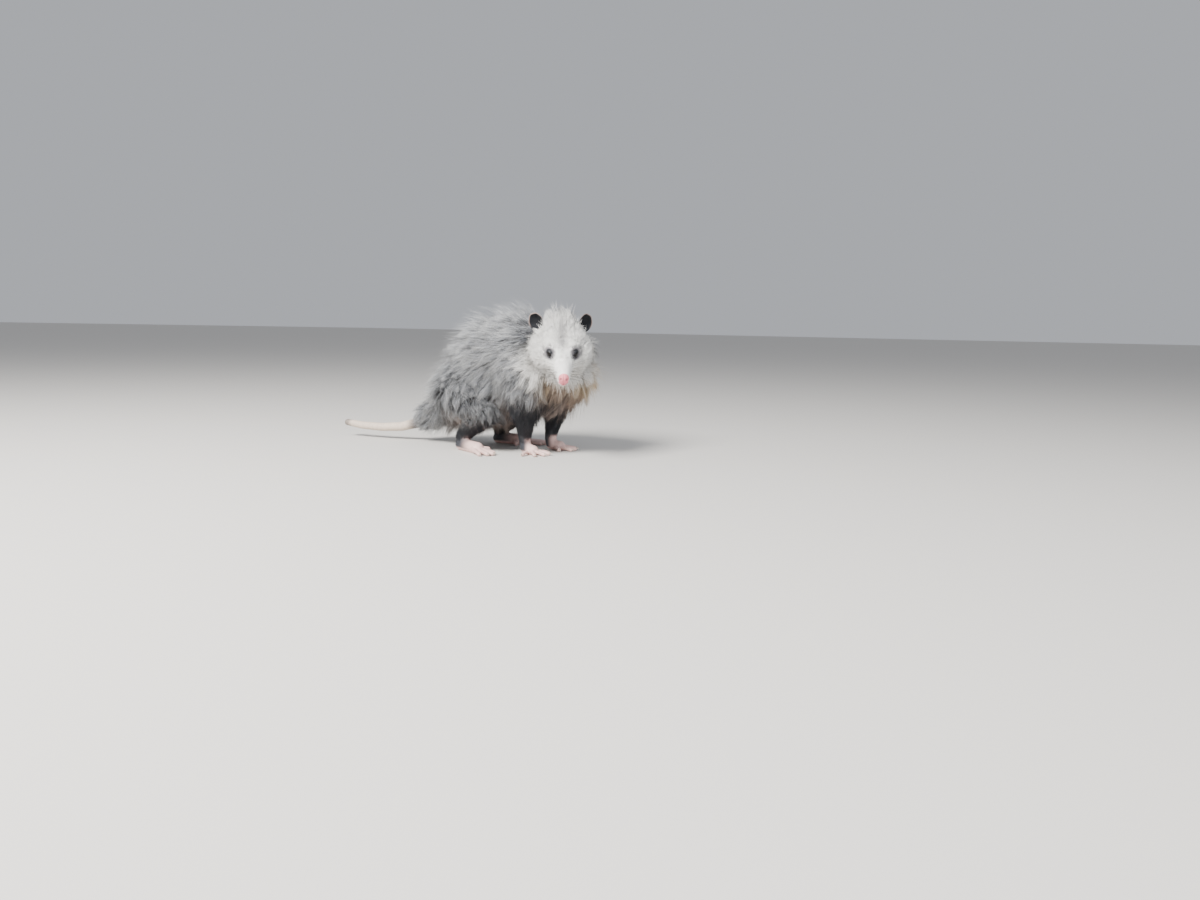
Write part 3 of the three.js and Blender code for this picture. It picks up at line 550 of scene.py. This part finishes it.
WHISKER = np.array([0.08, 0.075, 0.07])


def markings(p, normal):
    """Strengths of the pattern at each point: face, leg, throat, belly and mask

    Each marking fades between two places, in millimetres of the head's frame or the body's.
    """
    local = head_local(p)
    ahead, sideways, rise = local.T
    head = smooth(-62, -40, ahead) * smooth(95, 70, np.linalg.norm(local, axis=1))
    head *= smooth(-50, -38, rise) * smooth(48, 38, np.abs(sideways))
    side = np.sign(p[:, 1])
    hind = smooth(58, 44, p[:, 2] + 0.35 * (50 - p[:, 0])) * smooth(100, 80, p[:, 0])
    fore = smooth(108, 78, p[:, 2]) * smooth(84, 98, p[:, 0])
    inner = smooth(8, 16, side * p[:, 1])
    leg = np.clip(hind * smooth(-45, -30, p[:, 0]) * inner + fore * inner, 0, 1)
    chest = smooth(136, 154, p[:, 0]) * smooth(140, 120, p[:, 2]) * smooth(78, 94, p[:, 2])
    jowl = smooth(-22, -34, rise) * smooth(-12, -30, ahead) * smooth(42, 30, np.abs(sideways))
    throat = np.maximum(chest, jowl * smooth(90, 70, np.linalg.norm(local, axis=1)))
    under = smooth(-0.15, -0.6, normal[:, 2]) * smooth(-40, 0, p[:, 0])
    belly = np.maximum(under, 0.85 * smooth(100, 80, p[:, 2]) * (p[:, 0] > 100)) * (1 - head)
    stripe = bell(sideways, 6.5) * smooth(8, -8, ahead) * smooth(-40, -24, ahead)
    crown = smooth(-24, -50, ahead) * bell(sideways, 20) * smooth(0, 12, rise)
    mask = np.clip(0.62 * stripe * smooth(-20, -8, rise) + 0.3 * crown, 0, 1)
    for centre, look, across, up in eyes:
        offset = p - centre
        a, b = offset @ across, offset @ up
        ring = np.hypot(a / 1.25, b)
        mask = np.maximum(mask, 1.35 * smooth(10.0, 6.6, ring) * smooth(-3, 1, offset @ look))
    return head, leg * (1 - head), np.clip(throat, 0, 1), belly, np.clip(mask, 0, 1)


def coat_color(p, normal, along, tone, silver):
    """Colour at a share of a tuft's length; tone and silver differ from tuft to tuft"""
    head, leg, throat, belly, mask = markings(p, normal)
    haunch = smooth(96, 52, p[:, 2]) * smooth(78, 50, p[:, 0]) * smooth(-70, -30, p[:, 0])
    body = mix(DARK_ROOT, GREY * tone[:, None], smooth(0.15, 0.60, along))
    body = body * (1 - 0.6 * haunch[:, None])
    body = mix(body, SILVER, smooth(0.52, 0.92, along) * silver * (1 - 0.35 * haunch))
    warm = mix(CREAM * 0.35, CREAM * tone[:, None], smooth(0.1, 0.5, along))
    color = mix(body, warm, throat * 0.95)
    color = mix(color, mix(BELLY * 0.5, BELLY, smooth(0, 0.6, along)), belly * 0.8)
    pale = mix(WHITE * 0.75, WHITE * (0.93 + 0.07 * tone[:, None]), smooth(0, 0.4, along))
    color = mix(color, pale, head * (1 - 0.75 * throat * smooth(-20, -45, head_local(p)[:, 0])))
    color = mix(color, SMUDGE * tone[:, None], head * mask)
    return mix(color, BLACK * tone[:, None], leg)


def skin_color(p, normal):
    """Colour of the skin: under the coat as the coat's roots, and bare on nose, feet and tail,
    with painted shade along the mouth's line and in the nostrils
    """
    local = head_local(p)
    ahead = local[:, 0]
    head, *_ = markings(p, normal)
    ones = np.ones(len(p))
    color = coat_color(p, normal, 0.25 * ones, ones, ones)
    height = mouth_height(local)
    nose = smooth(NOSE_FROM - 2, NOSE_FROM, ahead) * head
    lips = smooth(2.6, 1.4, np.abs(height)) * smooth(2, 8, ahead) * head
    color = mix(color, PINK, np.maximum(nose, 0.8 * lips))
    # Painted shade: the pink is darkened along the parting of the lips, over the groove cut
    # there
    inside = smooth(0.9, 0.3, np.abs(height)) * smooth(2, 8, ahead) * head
    color = mix(color, PINK * 0.25, inside)
    # Painted shade: the nostrils are painted near black inside their cut hollows
    for side in (1, -1):
        color = mix(color, PINK * 0.12, smooth(1.15, 0.8, nostril(local, side)))
    for centre, *_ in eyes:
        near = smooth(7.2, 6.2, np.linalg.norm(p - centre, axis=1))
        color = mix(color, BLACK * 0.6, near)
    foot = smooth(24, 18, p[:, 2]) * (p[:, 0] > -30) * (1 - head)
    paw = np.maximum(smooth(14, 42, p[:, 0]) * (p[:, 0] < 93), smooth(107, 116, p[:, 0]))
    paw = np.maximum(paw, smooth(6, 3, p[:, 2]))
    color = mix(color, mix(BLACK * 1.3, PALE_PINK, paw), foot)
    tail = smooth(-88, -96, p[:, 0])
    bare = mix(TAIL_DARK, TAIL_SKIN, smooth(-104, -122, p[:, 0]))
    color = mix(color, bare, tail)
    return mix(color, TAIL_DARK, smooth(-214, -224, p[:, 0]) * 0.8)


def paint(mesh, name, values):
    layer = mesh.attributes.new(name, "FLOAT_COLOR", "POINT")
    rgba = np.ones((len(values), 4))
    rgba[:, :3] = values
    layer.data.foreach_set("color", rgba.ravel())


# Tufts

# Each tuft's patch on the map, the shape of all tufts, and limits of number and size
PATCH = 0.003
TUFT_SIDES, TUFT_FLATNESS = 3, 0.45
TAPER_AT, TAPER = [0, 0.35, 0.8, 1], [0.75, 1, 0.55, 0.02]
MOST_ROOTS, MOST_TRIANGLES = 90000, 190000
ROOT_DEPTH, LEAST_COAT, LEAST_LENGTH, LEAST_HEIGHT = 0.6, 0.8, 2.2, 0.6
# How much the tufts of a lock turn, tilt and curl, how far its leader draws them, and how
# much the tone differs from tuft to tuft and from lock to lock
LOCK_TURN, LOCK_TILT, CURL, LOCK_REACH = 0.20, 0.10, 0.16, 14
LIE_BLEND, DROOP = 7, 0.8
TUFT_TONE, LOCK_TONE = 0.16, 0.13


def tuft_mesh(name, paths, widths, across, flat, sides, uv, colors):
    """Closed tapered blades: rings of sides points along each path, and a point at the tip"""
    count, knots = paths.shape[:2]
    rings = knots - 1
    heading = unit(np.gradient(paths, axis=1))
    across = across[:, None, :]
    wide = unit(across - heading * (across * heading).sum(-1, keepdims=True))
    thick = np.cross(heading, wide)
    turn = np.arange(sides) * 2 * math.pi / sides
    ring = (np.cos(turn)[:, None] * wide[:, :rings, None]
            + flat * np.sin(turn)[:, None] * thick[:, :rings, None])
    ring = paths[:, :rings, None] + ring * widths[:, :rings, None, None] / 2
    each = rings * sides + 1
    points = np.concatenate([ring.reshape(count, -1, 3), paths[:, -1:]], 1)
    faces = [list(range(sides - 1, -1, -1))]
    for k in range(rings - 1):
        for j in range(sides):
            a, b = k * sides + j, k * sides + (j + 1) % sides
            faces.append([a, b, b + sides, a + sides])
    top = (rings - 1) * sides
    faces += [[top + j, top + (j + 1) % sides, each - 1] for j in range(sides)]
    loops = np.concatenate(faces)
    totals = np.array([len(f) for f in faces])
    starts = np.concatenate([[0], np.cumsum(totals)[:-1]])
    all_loops = (loops[None] + each * np.arange(count)[:, None]).ravel()
    all_starts = (starts[None] + len(loops) * np.arange(count)[:, None]).ravel()
    mesh = bpy.data.meshes.new(name)
    mesh.vertices.add(count * each)
    move(mesh, points)
    mesh.loops.add(len(all_loops))
    mesh.loops.foreach_set("vertex_index", all_loops.astype(np.int32))
    mesh.polygons.add(len(all_starts))
    mesh.polygons.foreach_set("loop_start", all_starts.astype(np.int32))
    mesh.update(calc_edges=True)
    mesh.shade_smooth()
    place = np.array([[(v % sides + 0.5) / sides, v // sides / rings] for v in range(each - 1)]
                     + [[0.5, 1.0]])
    spots = uv[:, None] + PATCH * (place[loops] - 0.5)[None]
    mesh.uv_layers.new(name="OFBake").data.foreach_set("uv", spots.ravel())
    shades = np.concatenate([np.repeat(colors[:, :rings], sides, 1), colors[:, -1:]], 1)
    paint(mesh, "shade", shades.reshape(-1, 3))
    return mesh


def lie_and_coat(p, normal):
    """The way the coat lies, and its depth, shared among the nearest chains"""
    found = [chain.probe(p) for chain in chains]
    nearest = np.min([f[0] for f in found], axis=0)
    way, coat, total = np.zeros_like(p), np.zeros(len(p)), np.zeros(len(p))
    for chain, (d, axis, depth) in zip(chains, found):
        weight = np.exp(-(d - nearest) / LIE_BLEND)
        way += weight[:, None] * axis * chain.lie
        coat += weight * depth
        total += weight
    way = unit(way)
    coat = coat / total
    way[:, 2] -= smooth(4, 12, coat) * DROOP * (1 - np.maximum(normal[:, 2], 0))
    way = unit(way - normal * (way * normal).sum(1, keepdims=True))
    return way, coat


def paths_from(root, normal, way, length, rise, fall, knots):
    """Curves that leave the skin at one angle and bend down to another"""
    steps = knots - 1
    path = np.zeros((len(root), knots, 3))
    path[:, 0] = root - ROOT_DEPTH * normal
    for k in range(steps):
        angle = rise + (fall - rise) * (k + 0.5) / steps
        step = (np.cos(angle)[:, None] * way + np.sin(angle)[:, None] * normal)
        path[:, k + 1] = path[:, k] + step * (length / steps)[:, None]
    return path


def sample(points, triangles, density, total):
    """Roots spread over the skin by a density at each triangle"""
    corners = points[triangles]
    area = np.linalg.norm(np.cross(corners[:, 1] - corners[:, 0],
                                   corners[:, 2] - corners[:, 0]), axis=1) / 2
    weight = area * density
    count = int(min(total, weight.sum()))
    edges = np.cumsum(weight) / weight.sum()
    picks = np.searchsorted(edges, (np.arange(count) + rng.random(count)) / count)
    picks = np.minimum(picks, len(triangles) - 1)
    a, b = rng.random(count), rng.random(count)
    over = a + b > 1
    a[over], b[over] = 1 - a[over], 1 - b[over]
    c = corners[picks]
    return c[:, 0] + a[:, None] * (c[:, 1] - c[:, 0]) + b[:, None] * (c[:, 2] - c[:, 0])


def ear_distance(p):
    """Distance from the middle of the nearer ear"""
    local = head_local(p)
    local[:, 1] = np.abs(local[:, 1])
    return np.linalg.norm(local - EAR_AT, axis=1)


def bare_places(p):
    """Nose, lips, lids, feet and tail, where no tuft roots"""
    local = head_local(p)
    near_head = np.linalg.norm(local, axis=1) < 80
    height = mouth_height(local)
    bare = near_head & (local[:, 0] > NOSE_FROM - 1.0)
    bare |= near_head & (np.abs(height) < 1.7) & (local[:, 0] > 4)
    for centre, look, across, rise in eyes:
        offset = p - centre
        ring = np.hypot((offset @ across) / 1.1, (offset @ rise) / 0.9)
        bare |= (ring < 6.0) & (offset @ look > -1)
    paw = ((p[:, 0] > 34) & (p[:, 0] < 93)) | (p[:, 0] > 113)
    bare |= (p[:, 2] < 6) | (paw & (p[:, 2] < 19))
    return bare | (p[:, 0] < -112) | (ear_distance(p) < 9)


def grow(name, root, knots, scale, width, rise, fall, clump, guide_share, stray, silver_low):
    """One layer of the coat: tufts over their roots, drawn together into locks

    They stand up along the back and lie flatter on the flanks.
    """
    _, grad = slope(root, body_distance, 0.4)
    normal = unit(grad)
    way, coat = lie_and_coat(root, normal)
    keep = coat > LEAST_COAT
    root, normal, way, coat = root[keep], normal[keep], way[keep], coat[keep]
    count = len(root)
    across = unit(np.cross(normal, way))
    guides = rng.choice(count, max(8, int(count * guide_share)), replace=False)
    tree = kdtree.KDTree(len(guides))
    for i, g in enumerate(guides):
        tree.insert(root[g], i)
    tree.balance()
    home = np.array([tree.find(r)[1] for r in root])
    lock_turn = rng.normal(0, LOCK_TURN, len(guides))[home]
    turn = lock_turn + rng.normal(0, stray, count)
    heading = np.cos(turn)[:, None] * way + np.sin(turn)[:, None] * across
    long_coat = smooth(2, 10, coat)
    length = scale * coat * rng.uniform(0.8, 1.15, count) * rng.uniform(
        0.86, 1.14, len(guides))[home]
    length = length * (0.3 + 0.7 * smooth(12, 30, ear_distance(root)))
    length = np.maximum(length, LEAST_LENGTH)
    tilt = rng.normal(0, LOCK_TILT, len(guides))[home] * long_coat
    tilt = tilt + rng.normal(0, stray, count)
    standing = 0.72 + 0.28 * smooth(-0.1, 0.7, normal[:, 2])
    angle = rise * (0.55 + 0.45 * long_coat) * standing + tilt
    end = fall * (0.4 + 0.6 * long_coat) * standing ** 2 + tilt * 0.7
    path = paths_from(root, normal, heading, length, angle, end, knots)
    curl = rng.normal(0, CURL, count) * length
    path += (curl[:, None] * np.linspace(0, 1, knots)[None] ** 2)[..., None] * across[:, None]
    pull = clump * (np.linspace(0, 1, knots) ** 1.4)[None] * long_coat[:, None]
    leader = guides[home]
    drawn = np.linalg.norm(path[leader, 0] - path[:, 0], axis=1) < LOCK_REACH
    path += pull[..., None] * (path[leader] - path) * drawn[:, None, None]
    path[..., 2] = np.maximum(path[..., 2], LEAST_HEIGHT)
    taper = np.interp(np.linspace(0, 1, knots), TAPER_AT, TAPER)
    size = width * (0.62 + 0.38 * long_coat) * rng.uniform(0.8, 1.2, count)
    widths = size[:, None] * taper[None]
    tone = np.clip(rng.normal(1, TUFT_TONE, count), 0.6, 1.5) * rng.normal(
        1, LOCK_TONE, len(guides))[home]
    silver = rng.uniform(silver_low, 1.0, count)
    colors = np.stack([coat_color(root, normal, np.full(count, k / (knots - 1)), tone, silver)
                       for k in range(knots)], 1)
    uv = np.clip(unwrap(root, region_of(root)), PATCH, 1 - PATCH)
    made = []
    each = 2 * TUFT_SIDES * (knots - 1) - 2
    limit = MOST_TRIANGLES // each
    order = np.argsort(root[:, 0], kind="stable")
    for n, part in enumerate(np.array_split(order, max(1, math.ceil(count / limit)))):
        mesh = tuft_mesh(f"{name}_{n + 1}", path[part], widths[part], across[part],
                         TUFT_FLATNESS, TUFT_SIDES, uv[part], colors[part])
        made.append(new_object(mesh.name, mesh))
    return made


skin, skin_points = make_skin()
_, skin_grad = slope(skin_points, skin_distance)
skin_normals = unit(skin_grad)
map_skin(skin.data, skin_points)
paint(skin.data, "shade", skin_color(skin_points, skin_normals))
skin.data.calc_loop_triangles()
triangles = read(skin.data.loop_triangles, "vertices", 3, int)
middles = skin_points[triangles].mean(1)
_, middle_coat = lie_and_coat(middles, np.tile([0, 0, 1.0], (len(middles), 1)))
furry = ~bare_places(middles) & (middle_coat > LEAST_COAT)

LAYERS = [
    # name, roots per mm2 where long and short, knots, length over depth, width, rise, fall,
    # clumping, locks per tuft, stray angle, least silver
    ("under", 0.42, 1.25, 3, 1.75, 0.95, 0.62, 0.30, 0.55, 0.05, 0.10, 0.0),
    ("coat", 0.42, 0.0, 4, 2.15, 0.62, 0.74, 0.26, 0.80, 0.022, 0.09, 0.15),
    ("guard", 0.09, 0.0, 4, 2.70, 0.42, 0.80, 0.34, 0.25, 0.10, 0.16, 0.8),
]
coat_pieces = []
long_here = smooth(3, 8, middle_coat)
for name, dense, fine, knots, scale, width, rise, fall, clump, share, stray, low in LAYERS:
    density = furry * (dense * long_here + fine * (1 - long_here))
    roots = sample(skin_points, triangles, density, MOST_ROOTS)
    coat_pieces += grow(name, roots, knots, scale, width, rise, fall, clump, share, stray, low)


# Ears, eyes, claws and whiskers
EAR_SIZE, EAR_HALF_THICKNESS, RIM_ROLL = (11.5, 14.5, 7.5), 1.1, 1.2
EAR_FACING, EAR_RISE = (0.8, 0.56, 0.22), (-0.22, 0.5, 0.84)
CLAW_LENGTH, CLAW_SIDES, CLAW_FLATNESS = 7.6, 8, 0.8
CLAW_ARCH, CLAW_DROP, CLAW_ABOVE_TIP, CLAW_BACK = 0.9, 2.4, 0.7, 0.8
CLAW_LEAST_HEIGHT = 0.9
CLAW_WIDTHS = 2.3 * np.array([1, 1.0, 0.92, 0.76, 0.56, 0.34, 0.02])
WHISKER_ROWS, WHISKERS_IN_ROW = 4, 5
WHISKER_WIDTHS = 0.34 * np.array([1, 0.9, 0.75, 0.55, 0.35, 0.05])
UP = np.array([0, 0, 1.0])


def sphere_piece(name, sides, rings):
    bm = bmesh.new()
    bmesh.ops.create_uvsphere(bm, u_segments=sides, v_segments=rings, radius=1)
    mesh = mesh_from(bm, name)
    mesh.shade_smooth()
    return new_object(name, mesh)


def make_ear(name, side):
    """A thin leaf bent into a cup, with a rolled rim and soft folds across it"""
    piece = sphere_piece(name, 72, 40)
    x, y, level = read(piece.data.vertices, "co", 3).T
    r = np.minimum(np.hypot(x, y), 1)
    angle = np.arctan2(y, x)
    narrow = 1 - 0.26 * np.maximum(0, -y)
    wave = 1 + 0.03 * np.sin(3 * angle + 0.6) + 0.018 * np.sin(7 * angle)
    wide, high, cup = EAR_SIZE
    folds = 0.35 * np.sin(y * 9 + x * 2) * r * (1 - r) * 2
    rim = 0.5 + 0.35 * smooth(0.86, 0.98, r)
    local = np.stack([x * wide * narrow * wave, y * high * wave,
                      cup * (r * r - 1) + folds + level * EAR_HALF_THICKNESS * rim
                      - RIM_ROLL * smooth(0.9, 1.0, r) * np.maximum(0, y)], 1)
    facing = unit(sided(EAR_FACING, side))
    wide_way = unit(np.cross(sided(EAR_RISE, side), facing))
    seat = np.array([wide_way, np.cross(facing, wide_way), facing])
    move(piece.data, in_head(local @ seat + sided(EAR_AT, side)))
    front = smooth(-0.2, 0.3, level)
    edge = smooth(0.88, 0.98, r) * smooth(-0.3, 0.2, y)
    color = mix(EAR_BACK, BLACK * 0.5, front)
    color = mix(color, EAR_EDGE, 0.75 * edge)
    paint(piece.data, "shade", color)
    corner_map(piece)
    piece.data.update()
    return piece


def corner_map(piece):
    """A plain map of the piece, its faces toward +X beside those toward -X"""
    layer = piece.data.uv_layers.new(name="OFBake")
    points = read(piece.data.vertices, "co", 3)
    low, high = points.min(0), points.max(0)
    share = (points - low) / (high - low)
    loops = read(piece.data.loops, "vertex_index", kind=int)
    normals = read(piece.data.polygons, "normal", 3)
    totals = read(piece.data.polygons, "loop_total", kind=int)
    turned = np.repeat(normals[:, 0] > 0, totals)
    u = 0.02 + 0.46 * share[loops, 1] + np.where(turned, 0.5, 0)
    uv = np.stack([u, 0.02 + 0.96 * share[loops, 2]], 1)
    layer.data.foreach_set("uv", uv.ravel())


def blades(name, paths, across, taper, flat, sides, colors):
    """One piece of closed blades that share one taper"""
    spread = np.stack([np.linspace(0.05, 0.95, len(paths))] * 2, 1)
    widths = np.tile(taper, (len(paths), 1))
    return new_object(name, tuft_mesh(name, paths, widths, np.array(across), flat, sides,
                                      spread, colors))


ears = [make_ear("ear_left_skin", 1), make_ear("ear_right_skin", -1)]
eye_pieces = []
for name, (centre, *_) in zip(("eye_left_ball", "eye_right_ball"), eyes):
    piece = sphere_piece(name, 48, 32)
    move(piece.data, centre + read(piece.data.vertices, "co", 3) * EYE_RADIUS)
    piece.data.update()
    eye_pieces.append(piece)

claw_paths, claw_across = [], []
steps = np.linspace(0, 1, len(CLAW_WIDTHS))
for root, tip, clawed in toes:
    if clawed:
        way = unit((tip - root) * (1, 1, 0))
        base = tip + CLAW_ABOVE_TIP * UP - CLAW_BACK * way
        arch = CLAW_ARCH * np.sin(math.pi * steps * 0.8) - CLAW_DROP * steps ** 2
        claw_paths.append(base + steps[:, None] * way * CLAW_LENGTH + arch[:, None] * UP)
        claw_across.append(np.cross(UP, way))
claw_paths = np.array(claw_paths)
claw_paths[..., 2] = np.maximum(claw_paths[..., 2], CLAW_LEAST_HEIGHT)
claw_colors = mix(CLAW_ROOT, CLAW_TIP, np.tile(steps, (len(claw_paths), 1)))
claws = blades("claws", claw_paths, claw_across, CLAW_WIDTHS, CLAW_FLATNESS, CLAW_SIDES,
               claw_colors)

whisker_paths = []
steps = np.linspace(0, 1, len(WHISKER_WIDTHS))
for side in (1, -1):
    for row in range(WHISKER_ROWS):
        for k in range(WHISKERS_IN_ROW):
            ahead, rise = 37 - 4.2 * k + rng.normal(0, 0.7), -8 - 2.4 * row
            start = in_head((ahead, side * 4, rise))
            length = (20 + 5.5 * k) * rng.uniform(0.85, 1.1)
            way = unit(np.array([-0.30 + rng.normal(0, 0.1), side * 0.9,
                                 0.22 - 0.2 * row + rng.normal(0, 0.08)]) @ HEAD)
            path = start + (2.0 + length * steps)[:, None] * way
            path[:, 2] -= 6.0 * steps ** 2 * length / 30
            path -= FORWARD * (5.0 * steps ** 2)[:, None] * length / 30
            whisker_paths.append(path)
whisker_paths = np.array(whisker_paths)
whisker_colors = np.tile(WHISKER, (len(whisker_paths), len(WHISKER_WIDTHS), 1))
whiskers = blades("whiskers", whisker_paths, [UPWARD] * len(whisker_paths), WHISKER_WIDTHS,
                  1.0, 4, whisker_colors)


# Materials
class Value:
    """A socket of a material, so that its maths reads as Python"""

    def __init__(self, tree, socket):
        self.tree, self.socket = tree, socket

    def math(self, operation, other):
        node = self.tree.nodes.new("ShaderNodeMath")
        node.operation = operation
        put(self.tree, node.inputs[0], self)
        put(self.tree, node.inputs[1], other)
        return Value(self.tree, node.outputs[0])

    def __add__(self, other):
        return self.math("ADD", other)

    __radd__ = __add__

    def __mul__(self, other):
        return self.math("MULTIPLY", other)

    __rmul__ = __mul__


def put(tree, slot, value):
    if isinstance(value, Value):
        tree.links.new(value.socket, slot)
    else:
        slot.default_value = value


class Finish:
    """A material with its Principled shader and one way to add nodes"""

    def __init__(self, name, **constants):
        self.material = bpy.data.materials.new(name)
        self.material.use_nodes = True
        self.tree = self.material.node_tree
        self.shader = self.tree.nodes["Principled BSDF"]
        self.set(**constants)

    def set(self, **values):
        for name, value in values.items():
            put(self.tree, self.shader.inputs[name.replace("_", " ")], value)

    def node(self, kind, settings=None, output=0, **inputs):
        node = self.tree.nodes.new("ShaderNode" + kind)
        for key, value in (settings or {}).items():
            setattr(node, key, value)
        for key, value in inputs.items():
            put(self.tree, node.inputs[key.replace("_", " ")], value)
        return Value(self.tree, node.outputs[output])

    def shade(self):
        return self.node("Attribute", {"attribute_name": "shade"})

    def place(self):
        return self.node("TexCoord", output="Object")

    def noise(self, scale):
        return self.node("TexNoise", Vector=self.place(), Scale=scale, Detail=3.0)

    def tinted(self, color, factor):
        """A colour times a single value"""
        return self.node("VectorMath", {"operation": "SCALE"}, Vector=color, Scale=factor)

    def bump(self, height, strength, distance):
        return self.node("Bump", Height=height, Strength=strength, Distance=distance)


fur = Finish("fur", Roughness=0.62, Specular_IOR_Level=0.35)
fur.set(Base_Color=fur.tinted(fur.shade(), fur.noise(420.0) * 0.35 + 0.83))
flesh = Finish("skin", Roughness=0.55, Specular_IOR_Level=0.4)
flesh.set(Base_Color=flesh.tinted(flesh.shade(), flesh.noise(260.0) * 0.4 + 0.8))
pores = flesh.node("TexVoronoi", Vector=flesh.place(), Scale=900.0)
flesh.set(Normal=flesh.bump(pores * 0.6 + flesh.noise(500.0), 0.35, 0.0004))
leather = Finish("ear_skin", Roughness=0.7, Specular_IOR_Level=0.2)
leather.set(Base_Color=leather.shade(),
            Normal=leather.bump(leather.noise(700.0), 0.4, 0.0003))
wet = Finish("eye", Base_Color=(0.005, 0.004, 0.004, 1), Roughness=0.10, IOR=1.36)
horn = Finish("claw", Roughness=0.35)
horn.set(Base_Color=horn.shade())
bristle = Finish("whisker", Roughness=0.4)
bristle.set(Base_Color=bristle.shade())

LIMB_NODES = [f"{part}_{side}" for part in ("thigh", "shank", "foreleg", "hindfoot", "forefoot")
              for side in ("left", "right")]
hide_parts("head", "nose", "neck", "torso", "tail_base", "tail_middle", "tail_tip",
            *LIMB_NODES)
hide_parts("ear_left")
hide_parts("ear_right")
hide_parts("eye_left")
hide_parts("eye_right")
finishes = [
    ([skin], flesh, "bare_pink"), (coat_pieces, fur, "grey_fur"), (ears, leather, "ear_skin"),
    (eye_pieces, wet, "eye"), ([claws], horn, "bare_pink"), ([whiskers], bristle, "dark_fur"),
]
for pieces, finish, slot in finishes:
    for piece in pieces:
        piece.data.materials.append(finish.material)
        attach(piece, "root")

# Floor, light and camera
FLOOR_HALF = 40.0
LIT_POINT = (0, 0, 0.08)

bm = bmesh.new()
bmesh.ops.create_grid(bm, x_segments=1, y_segments=1, size=FLOOR_HALF)
floor = new_object("floor", mesh_from(bm, "floor"))
pale = Finish("floor", Base_Color=(0.62, 0.60, 0.57, 1), Roughness=0.8)
floor.data.materials.append(pale.material)

world = bpy.data.worlds.new("studio")
world.use_nodes = True
sky = world.node_tree.nodes["Background"].inputs
sky["Color"].default_value = (0.86, 0.89, 0.95, 1)
sky["Strength"].default_value = 0.55
bpy.context.scene.world = world


def area_light(name, at, size, power, color):
    lamp = bpy.data.lights.new(name, "AREA")
    lamp.size, lamp.energy, lamp.color = size, power, color
    piece = new_object(name, lamp)
    piece.location = at
    toward = Vector(LIT_POINT) - Vector(at)
    piece.rotation_euler = toward.to_track_quat("-Z", "Y").to_euler()


area_light("key", (-0.1, -1.6, 1.5), 0.8, 140, (1.0, 0.98, 0.95))
area_light("fill", (1.6, -0.6, 1.0), 1.6, 16, (0.92, 0.95, 1.0))

CAMERA_AT = np.array([793.0, -1008.0, 173.0])
# The camera looks along 120 degrees from +X, of which these are the cosine and the sine
HEADING_X, HEADING_Y = -0.5, math.sqrt(0.75)
CAMERA_PITCH, CAMERA_ROLL = math.radians(7.89), math.radians(1.088)
LENS, SENSOR_WIDTH = 26.1, 36
view = np.array([HEADING_X * math.cos(CAMERA_PITCH), HEADING_Y * math.cos(CAMERA_PITCH),
                 -math.sin(CAMERA_PITCH)])
right = unit(np.cross(view, UP))
level_up = np.cross(right, view)
tilted = math.cos(CAMERA_ROLL) * right + math.sin(CAMERA_ROLL) * level_up
matrix = Matrix.Identity(4)
for column, axis in enumerate((tilted, np.cross(tilted, view), -view)):
    for row in range(3):
        matrix[row][column] = axis[row]
matrix.translation = Vector(to_metres(CAMERA_AT))
camera = new_object("camera", bpy.data.cameras.new("camera"))
camera.data.lens = LENS
camera.data.sensor_width = SENSOR_WIDTH
camera.matrix_world = matrix
bpy.context.scene.camera = camera
